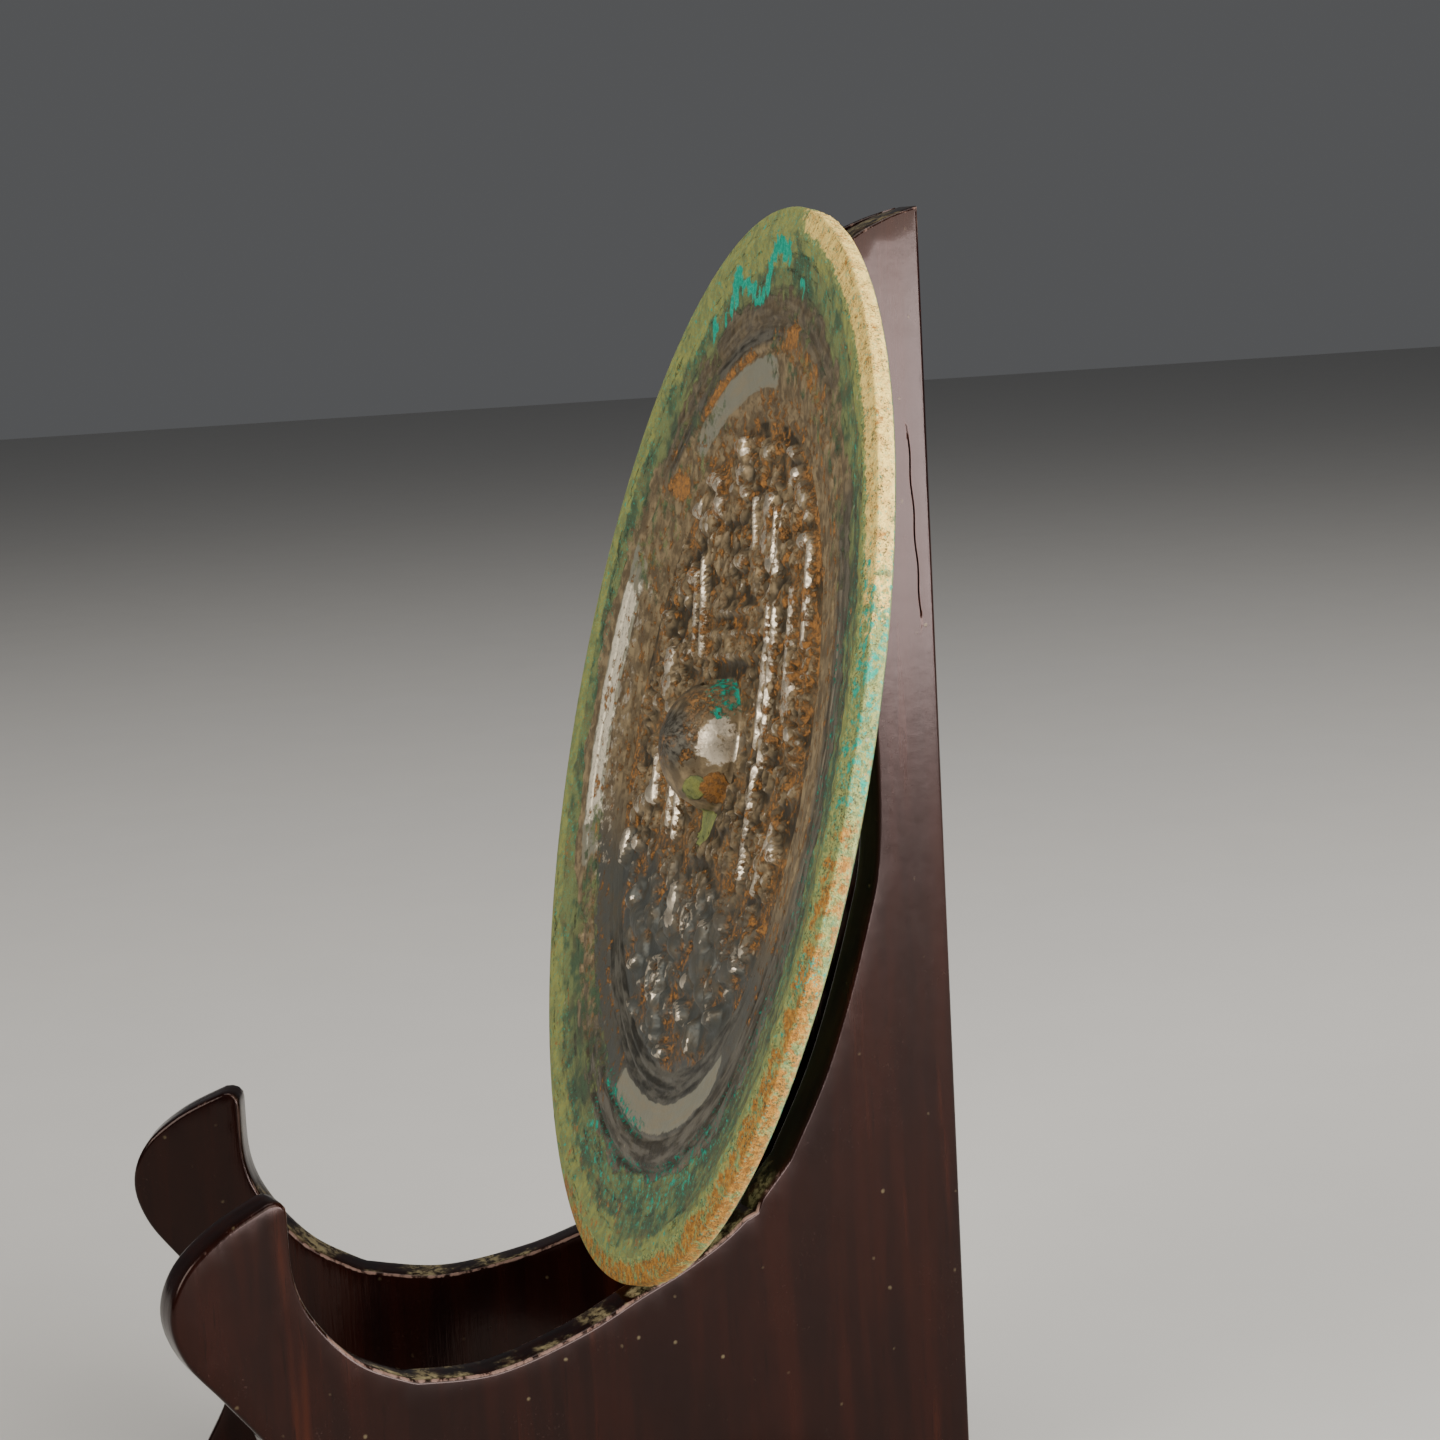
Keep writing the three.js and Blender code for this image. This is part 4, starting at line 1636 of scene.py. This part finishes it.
    @staticmethod
    def lower_work(relief: Relief) -> None:
        """Add the round curl, the ring, and the blunt bosses of the lowest rows.

        Args:
            relief: the relief.
        """
        relief.curl(4.0, -21.5, 2.7, 0.4, 1, 1.0, 1.5)
        relief.arc(-5.5, -30.5, 2.8, 0.0, WHOLE_TURN, 1.0, 1.4)
        relief.mound(-5.5, -30.5, 1.2, 1.2, 1.5)
        for x, y, a, b, turn in (
            (-14, -36.5, 2.2, 1.3, -0.3), (4, -37.7, 2.4, 1.2, 0.2), (-16.5, -31, 2.0, 1.1, 0.5),
            (16, -33.0, 1.4, 2.4, 0.2), (22.5, -29.0, 2.8, 1.2, 0.35), (31, -18.5, 1.2, 2.2, 0.1),
            (18.0, -18.5, 2.6, 1.1, -0.2), (8.5, -31.5, 2.2, 1.3, -0.4),
        ):
            relief.mound(x, y, a, b, 1.7, turn, 0.4)
        for x, y, turn in ((8.5, -18.0, 0.3), (-10.5, -18.5, -0.4), (20.5, -26.5, 1.2)):
            relief.arc(x, y, 2.0, turn, 3.6, 0.85, 1.2)

    @staticmethod
    def filling(relief: Relief) -> None:
        """Fill the bare ground with small curls, hooks and beads on a jittered grid, seeded once.

        Args:
            relief: the relief.
        """
        draw = np.random.default_rng(41)
        pitch, jitter = 4.1, 0.7
        hooks = ((0.9, 3.0, 0.65, 0.85), (1.3, 4.0, 0.75, 0.95))
        for row in range(-9, 10):
            for column in range(-9, 10):
                x = pitch * (column + 0.5 * (row % 2)) + draw.uniform(-jitter, jitter)
                y = pitch * row + draw.uniform(-jitter, jitter)
                kind, turn = int(draw.integers(4)), draw.uniform(0.0, 6.28)
                ground = relief.near(x, y, 1.5)
                if not 10.5 < math.hypot(x, y) < 37.5 or relief.height[ground].mean() > 0.42:
                    continue
                if kind < len(hooks):
                    radius, sweep, width, rise = hooks[kind]
                    relief.arc(x, y, radius, turn, sweep, width, rise)
                elif kind == 2:
                    relief.curl(x, y, 1.7, turn, 1, 0.7, 0.95)
                else:
                    relief.mound(x, y, 2.0, 0.6, 0.9, turn, 0.4)

    def face(self, x: Array, y: Array) -> Array:
        """Height of the whole face: plate, relief worn level at one height, knob, and cast unevenness.

        Args:
            x: the points' x, as a square grid.
            y: the points' y.

        Returns:
            The heights.
        """
        r = np.hypot(x, y)
        relief = blurred(self.carve(x, y), 3.0)
        level = self.wear_level
        worn = np.where(relief > level, level + 0.5 * (relief - level), relief)
        height = self.plate(r) + worn * smooth(39.8, 38.4, r)
        rise = np.sqrt(np.clip(1.0 - (r / self.knob_radius) ** 2, 0.0, 1.0))
        height = np.where(r < self.knob_radius, self.field_centre + self.knob_height * rise, height)
        broad, crumb, pits = Ripple(3, 9.0), Ripple(5, 2.6, 40), Ripple(7, 1.5, 60)
        height = height + 0.05 * broad(x, y) * smooth(self.radius - 0.5, self.radius - 3.0, r)
        rough = smooth(52.4, 54.5, r) * smooth(self.radius - 0.1, self.radius - 1.0, r)
        crust = 0.06 * crumb(x, y) + 0.05 * np.clip(pits(x, y), -1.5, 1.0) - 0.05
        return height + rough * crust + 0.012 * crumb(x, y) * smooth(self.radius, 50.0, r)

    def lattice(self) -> tuple[Array, Array]:
        """Lay a square grid over the disc so that each square ring becomes a circle.

        Ring k holds the grid points whose larger coordinate is k; a point's angle is a quarter turn times
        the ratio of its smaller to its larger coordinate, counted from its side of the square.

        Returns:
            x and y of the grid's points, as square arrays.
        """
        radii = self.ring_radii()
        steps = np.arange(1 - len(radii), len(radii))
        i, j = np.meshgrid(steps, steps, indexing="ij")
        wide = np.abs(i) >= np.abs(j)
        safe_i, safe_j = np.where(i == 0, 1, i), np.where(j == 0, 1, j)
        angle = np.where(wide, math.pi / 4 * j / safe_i, UPRIGHT - math.pi / 4 * i / safe_j)
        angle = angle + np.where(np.where(wide, i, j) < 0, math.pi, 0.0)
        r = radii[np.maximum(np.abs(i), np.abs(j))]
        return r * np.cos(angle), r * np.sin(angle)

    def surface(self) -> tuple[Array, list[list[int]], int]:
        """Work out the closed surface: the face's grid, then rings down the side and over the back.

        The back's height is -sagitta * (1 - (r/radius)^2). Noise nibbles the side's three rings.

        Returns:
            The points as rows of x, y, z in millimetres, the faces, and the size of the face's grid.
        """
        x, y = self.lattice()
        x, y, z = self.pierce(x, y, self.face(x, y))
        size = x.shape[0]
        number = np.arange(size * size).reshape(size, size)
        quads = np.stack([number[:-1, :-1], number[1:, :-1], number[1:, 1:], number[:-1, 1:]], axis=-1)
        faces = quads.reshape(-1, 4).tolist()
        loop = np.concatenate([number[-1, :-1], number[:0:-1, -1], number[0, :0:-1], number[:-1, 0]])
        points = [np.stack([x, y, z], axis=-1).reshape(-1, 3)]
        around = points[0][loop][:, :2] / self.radius
        nick = Ripple(11, 3.0, 40)(*(around * self.radius).T)
        bitten = 0.07 * np.clip(nick, -0.4, 1.2) + 0.03
        steps = [(self.radius - inset, height, bitten)
                 for inset, height in ((0.03, 1.45), (0.0, 0.85), (0.02, self.edge_round))]
        steps += [(self.radius * share, -self.sagitta * (1.0 - share**2), 0.0 * nick)
                  for share in (0.995, 0.96, 0.88, 0.75, 0.58, 0.38, 0.16)]
        start = size * size
        for r, height, inset in steps:
            points.append(np.column_stack([around * (r - inset)[:, None], np.full(len(loop), height)]))
            ring = start + np.arange(len(loop))
            faces += strip(loop, ring)
            loop, start = ring, start + len(ring)
        points.append(np.array([[0.0, 0.0, -self.sagitta]]))
        faces += np.stack([loop, np.full(len(loop), start), np.roll(loop, -1)], axis=-1).tolist()
        return np.vstack(points), faces, size

    def pierce(self, x: Array, y: Array, z: Array) -> tuple[Array, Array, Array]:
        """Sink the two mouths of the cord hole into the knob, level with the field and along the face's y.

        A knob point whose x and height lie within the hole's circle moves towards the knob's middle, by
        most of its y at the circle's middle and not at all at its edge.

        Args:
            x: the face's x.
            y: the face's y.
            z: the face's heights.

        Returns:
            The face's x, y and z after it.
        """
        size, height = self.cord_hole
        away = np.hypot(x, z - self.field_centre - height)
        knob = np.hypot(x, y) < self.knob_radius
        share = np.where(knob, smooth(size, 0.72 * size, away), 0.0)
        return x, y * (1.0 - 0.62 * share), z

    def places(self, points: Array, size: int) -> Place:
        """Work out where the points lie.

        Args:
            points: rows of x, y, z; the face's grid comes first.
            size: the grid's size.

        Returns:
            Their places.
        """
        x, y, z = points.T
        r = np.hypot(x, y)
        front = np.arange(len(points)) < size * size
        rear = ~front & (z < 0.1)
        beyond_ridge = np.where(front & (r < self.radius - 0.3), smooth(61.8, 62.5, r), 1.0)
        side = np.where(rear, 0.0, beyond_ridge * smooth(-12.0, 6.0, x - 0.15 * y))
        over = (z - self.field_centre) / self.knob_height
        dome = np.stack([x / self.knob_radius, y / self.knob_radius, over])
        uneven = np.clip(0.5 + 0.35 * Ripple(21, 16.0)(x, y) + 0.2 * Ripple(23, 7.0)(x, y), 0.0, 1.0)
        carved = front & (r < 40.0) & (r > self.knob_radius)
        return Place(x, y, z, r, np.degrees(np.arctan2(y, x)), dome, front, carved, side, rear, uneven)

    def weather(self, p: Place, size: int) -> Weathering:
        """Measure the face's relief, and how far each spot of it stands over its surroundings.

        Args:
            p: the points' places.
            size: the size of the face's grid.

        Returns:
            The casting's weathering.
        """
        relief = np.where(p.front, p.z - self.plate(p.r), 0.0)
        flat = relief[:size * size].reshape(size, size)
        level = flat
        for _ in range(3):
            level = blurred(level, 1.0)
        bulge = np.zeros(len(p.z))
        bulge[:size * size] = (flat - level).ravel()
        return Weathering(p, relief, bulge)

    def unroll(self, p: Place) -> Array:
        """Give each point its length along the casting's section, and a slow turn round the disc.

        Args:
            p: the points' places.

        Returns:
            Rows of three coordinates, in metres, on which noise streaks along the casting's circles.
        """
        length = np.where(p.front, p.r, self.radius + self.edge_height - p.z)
        length = np.where(p.rear, 2.0 * self.radius + 4.0 - p.r, length)
        turn = 7.0 / np.maximum(p.r, 1.0)
        return np.stack([length, turn * p.x, turn * p.y], axis=1) * MM

    def to_frame(self, points: Array) -> Array:
        """Lean the mirror back about +X and carry it to its place.

        Args:
            points: rows of x, y, z on the mirror's own axes.

        Returns:
            Rows of x, y, z in metres, in the object's frame.
        """
        up, back = math.cos(self.lean), math.sin(self.lean)
        x, y, z = points.T
        return (np.stack([x, y * back - z * up, y * up + z * back], axis=1) + self.centre) * MM

    def build(self, bronze: Material) -> Piece:
        """Make the mirror and put it in the place of the plain solid.

        Args:
            bronze: its material.

        Returns:
            The finished piece.
        """
        points, faces, size = self.surface()
        piece = make_mesh("mirror_casting", self.to_frame(points), faces)
        place = self.places(points, size)
        for name, channels in self.weather(place, size).attributes().items():
            paint(piece, name, channels)
        flow = piece.data.attributes.new("unrolled", "FLOAT_VECTOR", "POINT")
        flow.data.foreach_set("vector", self.unroll(place).astype(np.float32).ravel())
        dress(piece, bronze, "right_side", "mirror")
        return piece


# ---------------------------------------------------------------- stand


@dataclass
class StandBoard:
    """One board of the folding stand, with softened arrises and its hinge knuckles.

    Lengths are millimetres on the board's own axes: w across its thickness from the hinge plane outwards,
    u forward from the hinge line, and h up.

    Attributes:
        side: which board it is.
        cracked: whether its outer face has the long drying check beside the back edge.
        height, reach, thickness: the plank's height, its length from the hinge line, and its thickness.
        clearance: play at the hinge.
        half_angle: angle between the board and the frame's y.
        knuckle_radius: radius of the hinge's knuckles.
        lower_joint, upper_joint, knuckle_top: heights of the joints between knuckles, and of their end.
        arch, heel, toe: height of the arch, length of the back foot, and where the front foot stands.
        soften: radius of the arrises.
        spacing, grid: distance between points along the outline, and on the flat faces.
        check, check_width, check_depth: ends of the drying check, its half width and its depth.
        hinge_y: the hinge line's y, from the plain solid.
    """

    side: Side
    cracked: bool = False
    height: float = 160.0
    reach: float = 102.0
    thickness: float = 4.7
    clearance: float = 0.3
    half_angle: float = math.radians(14.0)
    knuckle_radius: float = 2.3
    lower_joint: float = 56.0
    upper_joint: float = 110.0
    knuckle_top: float = 158.8
    arch: float = 11.5
    heel: float = 18.0
    toe: Span = (80.0, 99.0)
    soften: float = 0.55
    spacing: float = 0.8
    grid: float = 2.4
    check: Span = (134.0, 110.0)
    check_width: float = 0.14
    check_depth: float = 0.22
    hinge_y: float = field(init=False)

    def __post_init__(self) -> None:
        """Take the hinge line from the plain solid's box: its back is a knuckle radius behind the line."""
        _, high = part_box("right_board")
        self.hinge_y = high.y / MM - self.knuckle_radius

    def outline(self) -> Array:
        """Draw the board: back edge, sloping tip, leaning corner, saddle, hook and nose, toe and arch.

        Returns:
            Evenly spaced rows of u and h, anticlockwise, with a small chip out of the saddle's back end.
        """
        top, reach, arch, heel = self.height, self.reach, self.arch, self.heel
        toe, toe_end = self.toe
        corner, post_foot, saddle = (12.8, top - 11), (24.2, 46.8), (74, 30.2)
        inner_hook, nose, neck = (87.8, 53.2), (90, 54.3), (92.4, 27)
        runs = [
            np.array([(0.0, 0.0), (0.0, top)]),
            spline([(0, top), (4.4, top - 1.2), (9.1, top - 3.3), (12.1, top - 6.2)], 8),
            bezier([(12.1, top - 6.2), (13.2, top - 7.6), corner], 8),
            spline([corner, (11.2, 128), (9.4, 103), (9.6, 84), (12.2, 73), (17.9, 58), post_foot], 16),
            spline([post_foot, (31.2, 40.3), (38, 36.7), (44.8, 34.25), (53.2, 31.2), (64, 29.1),
                    saddle], 12),
            spline([saddle, (80.4, 33.8), (85.3, 39.5), (87.6, 45.2), inner_hook], 12),
            bezier([inner_hook, (88.2, 54.6), nose], 6),
            spline([nose, (95.7, 51.7), (100.2, 48), (reach, 43.2), (100.6, 38), (96.6, 32.6), neck], 12),
            spline([neck, (91.2, 21.5), (92.6, 14), (96.4, 6.5), (toe_end, 0)], 12),
            bezier([(toe, 0), (toe - 3, arch), (toe - 10, arch), (toe - 16, arch)], 16),
            bezier([(heel + 16, arch), (heel + 10, arch), (heel + 3, arch), (heel, 0)], 16),
        ]
        path = spaced(np.vstack(runs), self.spacing, closed=True)[::-1]
        chip = np.exp(-(np.hypot(path[:, 0] - 29.3, path[:, 1] - 41.8) / 0.9) ** 2)
        return path - chip[:, None] * np.array([0.35, 0.65])

    @staticmethod
    def inward(path: Array) -> Array:
        """Unit normals of a closed anticlockwise path, pointing into it.

        Args:
            path: rows of u and h.

        Returns:
            One normal for each row.
        """
        along = np.roll(path, -1, axis=0) - np.roll(path, 1, axis=0)
        along /= np.linalg.norm(along, axis=1, keepdims=True)
        return np.stack([-along[:, 1], along[:, 0]], axis=1)

    def check_path(self) -> Array:
        """Return the drying check's line beside the back edge, slightly wandering."""
        h = np.linspace(*self.check, 25)
        return np.stack([2.9 - (self.check[0] - h) * 0.035 + 0.10 * np.sin(h * 0.9), h], axis=1)

    def flat_points(self, rim: Array) -> Array:
        """Scatter points for a flat face: a triangular grid clear of the rim, and finer rows at the check.

        Args:
            rim: the face's boundary.

        Returns:
            Rows of u and h.
        """
        row = self.grid * 0.866
        u, h = np.meshgrid(np.arange(0.0, self.reach, self.grid), np.arange(0.0, self.height, row))
        u = u + self.grid / 2.0 * (np.arange(u.shape[0]) % 2)[:, None]
        u, h = u.ravel(), h.ravel()
        away, _ = path_distance(u, h, joined_up(rim))
        keep = within(u, h, rim) & (away > 1.0)
        points = np.stack([u[keep], h[keep]], axis=1)
        if not self.cracked:
            return points
        check = self.check_path()
        clear, _ = path_distance(*points.T, check)
        rows = [spaced(check, 0.35) + [offset, 0.0] for offset in (-0.8, -0.32, -0.13, 0.0, 0.13, 0.32, 0.8)]
        return np.vstack([points[clear > 1.1], *rows])

    def solid(self) -> Piece:
        """Make the board without its hinge: two flat faces and a wall whose arrises are quarter rounds.

        Ring by ring the wall's inset is soften * (1 - sin t) and its depth soften * (1 - cos t), with t from
        0 at the face to a quarter turn at the wall.

        Returns:
            The plank.
        """
        path = self.outline()
        inner = self.inward(path)
        rim = path + inner * self.soften
        count = len(path)
        flat = [Vector(p) for p in np.vstack([rim, self.flat_points(rim)])]
        verts, _, faces, _, _, _ = delaunay_2d_cdt(flat, [], [list(range(count))], 1, 1e-6, True)
        spots = np.array([tuple(v) for v in verts])
        middles = spots[np.array(faces)].mean(axis=1)
        faces = np.array(faces)[within(*middles.T, rim)].tolist()
        ring = np.linalg.norm(spots[None, :, :] - rim[:, None, :], axis=2).argmin(axis=1)

        low, high = self.clearance / 2.0, self.clearance / 2.0 + self.thickness
        points = [np.column_stack([high - self.check_sink(spots), spots]),
                  np.column_stack([np.full(len(spots), low), spots])]
        polygons = [list(f) for f in faces] + [[len(spots) + k for k in reversed(f)] for f in faces]
        turns = np.linspace(0.0, UPRIGHT, 4)[1:]
        outer = [(self.soften * (1 - math.sin(t)), high - self.soften * (1 - math.cos(t))) for t in turns]
        wall = np.linspace(high - self.soften, low + self.soften, 4)[1:-1]
        levels = outer + [(0.0, w) for w in wall] + [(inset, low + high - w) for inset, w in reversed(outer)]
        before, start = ring, 2 * len(spots)
        for inset, w in levels:
            points.append(np.column_stack([np.full(count, w), path + inner * inset]))
            now = start + np.arange(count)
            polygons += strip(before, now)
            before, start = now, start + count
        polygons += strip(before, len(spots) + ring)
        return make_mesh(f"{self.side.word}_board_plank", self.to_frame(np.vstack(points)), polygons)

    def check_sink(self, spots: Array) -> Array:
        """Depth of the drying check at points of the outer face, deepest along its middle line.

        Args:
            spots: rows of u and h.

        Returns:
            The depths.
        """
        if not self.cracked:
            return np.zeros(len(spots))
        away, along = path_distance(*spots.T, self.check_path())
        ends = smooth(0.0, 0.12, along) * smooth(1.0, 0.9, along)
        return self.check_depth * smooth(self.check_width, 0.0, away) * ends

    def rod(self, radius: float, low: float, high: float) -> Piece:
        """Make an upright closed rod on the hinge line, as a turned profile with slightly eased ends.

        Args:
            radius: its radius.
            low: its lower end.
            high: its upper end.

        Returns:
            The rod.
        """
        sides, ease = 40, 0.25
        profile = ((radius - ease, low), (radius, low + ease), (radius, high - ease), (radius - ease, high))
        turn = np.linspace(0.0, WHOLE_TURN, sides, endpoint=False)
        rings = [np.column_stack([r * np.cos(turn), r * np.sin(turn), np.full(sides, h)]) for r, h in profile]
        points = np.vstack(rings) + np.array([0.0, self.hinge_y, 0.0])
        number = np.arange(len(points)).reshape(-1, sides)
        faces = []
        for a, b in zip(number[:-1], number[1:]):
            faces += np.stack([a, np.roll(a, -1), np.roll(b, -1), b], axis=-1).tolist()
        faces += [number[0][::-1].tolist(), number[-1].tolist()]
        return make_mesh("rod", points * MM, faces)

    def to_frame(self, points: Array) -> Array:
        """Turn a board's points by its half angle about the hinge line.

        Args:
            points: rows of w, u and h.

        Returns:
            Rows of x, y, z in metres, in the object's frame.
        """
        w, u, h = points.T
        c, s = math.cos(self.half_angle), math.sin(self.half_angle)
        return np.stack([self.side.value * (w * c + u * s), w * s - u * c + self.hinge_y, h], axis=1) * MM

    def from_frame(self, placed: Array) -> Array:
        """Take points of the frame back to the board's own axes.

        Args:
            placed: rows of x, y, z in metres.

        Returns:
            Rows of w, u and h.
        """
        x, y, h = (placed / MM).T
        c, s = math.cos(self.half_angle), math.sin(self.half_angle)
        x, y = x * self.side.value, y - self.hinge_y
        return np.stack([x * c + y * s, x * s - y * c, h], axis=1)

    def runs(self) -> tuple[list[Span], list[Span]]:
        """Share the hinge between the boards: the right one has its ends, the left one its middle.

        Returns:
            The heights of this board's own knuckles, and of the hollows for the other board's.
        """
        half = self.clearance / 2.0
        if self.side is Side.RIGHT:
            own = [(0.0, self.lower_joint - half), (self.upper_joint + half, self.knuckle_top)]
            return own, [(self.lower_joint - half, self.upper_joint + half)]
        own = [(self.lower_joint + half, self.upper_joint - half)]
        return own, [(-1.0, self.lower_joint + half), (self.upper_joint - half, self.height + 1.0)]

    def build(self, wood: Material) -> Piece:
        """Make the board, cut its hollows, join its knuckles and put it in the plain solid's place.

        Args:
            wood: its material.

        Returns:
            The finished piece.
        """
        plank = self.solid()
        own, hollows = self.runs()
        for low, high in hollows:
            combine(plank, self.rod(self.knuckle_radius + self.clearance, low, high), "DIFFERENCE")
        for low, high in own:
            combine(plank, self.rod(self.knuckle_radius, low, high), "UNION")
        plank.name = f"{self.side.word}_board_wood"
        plank.data.name = plank.name
        plank.data.set_sharp_from_angle(angle=math.radians(38.0))
        self.paint_wear(plank)
        dress(plank, wood, f"{self.side.word}_side", f"{self.side.word}_board")
        return plank

    def paint_wear(self, piece: Piece) -> None:
        """Mark the rubbed arrises, with a painted highlight along the hook's nose, the dusty ledges and the
        open check by their place on the board.

        Args:
            piece: the board.
        """
        w, u, h = self.from_frame(coordinates(piece)).T
        away, _ = path_distance(u, h, joined_up(self.outline()))
        from_middle = w - self.clearance / 2.0 - self.thickness / 2.0
        from_face = self.thickness / 2.0 - np.abs(from_middle)
        saddle = smooth(22.0, 30.0, u) * smooth(90.0, 82.0, u) * smooth(26.0, 28.0, h)
        tip = smooth(150.0, 156.0, h)
        nose = smooth(80.0, 86.0, u) * smooth(38.0, 44.0, h)
        arris = smooth(0.7, 0.1, away) * smooth(0.7, 0.1, from_face)
        # Rubbed arrises; the nose term paints a thin highlight along the hook's edge.
        rub_and_edge_highlight = arris * np.clip(0.18 + 0.50 * saddle + 0.35 * tip + 0.25 * nose, 0.0, 1.0)
        ledge = smooth(0.5, 0.1, away) * smooth(0.2, 0.6, from_face) * np.clip(saddle + 0.5 * tip, 0.0, 1.0)
        crack = np.zeros(len(w))
        if self.cracked:
            gap, _ = path_distance(u, h, self.check_path())
            crack = smooth(0.24, 0.02, gap) * smooth(0.6, 0.2, np.abs(from_middle - self.thickness / 2.0))
        paint(piece, "edges", (rub_and_edge_highlight, ledge, crack))


# ---------------------------------------------------------------- surroundings


@dataclass(frozen=True)
class Softbox:
    """A soft light: where it hangs, what it faces, its size in metres, power in watts and tint."""

    name: str
    place: tuple[float, float, float]
    aim: tuple[float, float, float]
    size: Span
    power: float
    tint: Colour

    def build(self) -> None:
        """Hang the light."""
        lamp = bpy.data.lights.new(self.name, "AREA")
        lamp.shape = "RECTANGLE"
        lamp.size, lamp.size_y = self.size
        lamp.energy = self.power
        lamp.color = self.tint
        holder = bpy.data.objects.new(self.name, lamp)
        holder.location = self.place
        holder.rotation_euler = (Vector(self.aim) - Vector(self.place)).to_track_quat("-Z", "Y").to_euler()
        holder.visible_camera = False
        bpy.context.scene.collection.objects.link(holder)


@dataclass(frozen=True)
class Studio:
    """The floor, the soft lights and the camera, in metres.

    Attributes:
        eye: where the camera stands.
        right: the way to the picture's right.
        down: the way to the picture's bottom.
        forward: the way that the camera looks.
        lens: focal length in millimetres.
        sensor: width of the sensor in millimetres.
        floor_size: half the floor's width.
        floor_gap: how far the floor lies below the feet.
        floor_tones: the floor's two pale greys.
        air: colour of the light from all around.
        air_strength: its strength.
        lights: the softboxes.
    """

    eye: tuple[float, float, float] = (0.350391, -0.062052, 0.155374)
    right: tuple[float, float, float] = (0.2434614, 0.9684555, -0.0531088)
    down: tuple[float, float, float] = (0.1356055, -0.0882064, -0.9868287)
    forward: tuple[float, float, float] = (-0.9603842, 0.2330528, -0.1528027)
    lens: float = 75.0
    sensor: float = 36.0
    floor_size: float = 3.0
    floor_gap: float = 0.0002
    floor_tones: tuple[Colour, Colour] = ((0.54, 0.535, 0.52), (0.57, 0.565, 0.55))
    air: Colour = (0.62, 0.63, 0.65)
    air_strength: float = 0.15
    lights: tuple[Softbox, ...] = (
        Softbox("key_softbox", (0.47, 0.43, 0.47), (0.0, 0.0, 0.25), (0.9, 0.7), 12.0, (1.0, 0.95, 0.88)),
        Softbox("strip_softbox", (0.50, 0.45, 0.082), (0.0, 0.0, 0.082), (0.6, 0.15), 6.6, (1.0, 0.96, 0.98)),
        Softbox("face_softbox", (0.25, -0.80, 0.55), (0.0, 0.0, 0.1), (0.6, 0.5), 8.0, (1.0, 0.94, 0.86)),
        Softbox("top_softbox", (-0.2, 0.0, 1.1), (0.0, 0.0, 0.1), (0.6, 0.6), 3.0, (1.0, 0.98, 0.95)),
    )

    def build(self, effects: SharedEffects) -> None:
        """Make the camera, the floor, the lights and the air.

        Args:
            effects: the shared node groups.
        """
        self.camera()
        self.floor(effects)
        for light in self.lights:
            light.build()
        world = bpy.data.worlds.new("studio_air")
        world.use_nodes = True
        sky = world.node_tree.nodes["Background"]
        sky.inputs["Color"].default_value = (*self.air, 1.0)
        sky.inputs["Strength"].default_value = self.air_strength
        bpy.context.scene.world = world

    def camera(self) -> None:
        """Stand the camera at its place, with its own axes."""
        view = bpy.data.cameras.new("view")
        view.sensor_width = self.sensor
        view.lens = self.lens
        view.clip_start = 0.01
        holder = bpy.data.objects.new("view", view)
        axes = Matrix((self.right, [-v for v in self.down], [-v for v in self.forward])).transposed()
        holder.matrix_world = Matrix.Translation(Vector(self.eye)) @ axes.to_4x4()
        bpy.context.scene.collection.objects.link(holder)
        bpy.context.scene.camera = holder

    def floor(self, effects: SharedEffects) -> None:
        """Lay a pale floor at the height of the feet.

        Args:
            effects: the shared node groups.
        """
        low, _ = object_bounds()
        s, z = self.floor_size, low.z - self.floor_gap
        corners = np.array([(-s, -s, z), (s, -s, z), (s, s, z), (-s, s, z)])
        piece = make_mesh("floor", corners, [[0, 1, 2, 3]], soft=False)
        m = Draft("pale_floor", effects)
        colour = m.g.mix(m.g.noise(m.place, 40.0, 4.0), *self.floor_tones)
        m.g.feed(m.shader.inputs["Base Color"], colour)
        m.g.feed(m.shader.inputs["Roughness"], m.g.plus(0.7, m.g.times(m.g.noise(m.place, 200.0, 2.0), 0.15)))
        piece.data.materials.append(m.material)
        piece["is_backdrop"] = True
        LOG.info("floor: at %.4f m", z)


def main() -> None:
    """Build the stage, the mirror and both boards."""
    logging.basicConfig(level=logging.INFO, format="%(message)s")
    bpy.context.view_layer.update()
    effects = SharedEffects()
    Studio().build(effects)
    MirrorCasting().build(AgedBronze().build(effects))
    for side in Side:
        StandBoard(side, cracked=side is Side.RIGHT).build(LacqueredWood(side).build(effects))


if __name__ == "__main__":
    main()
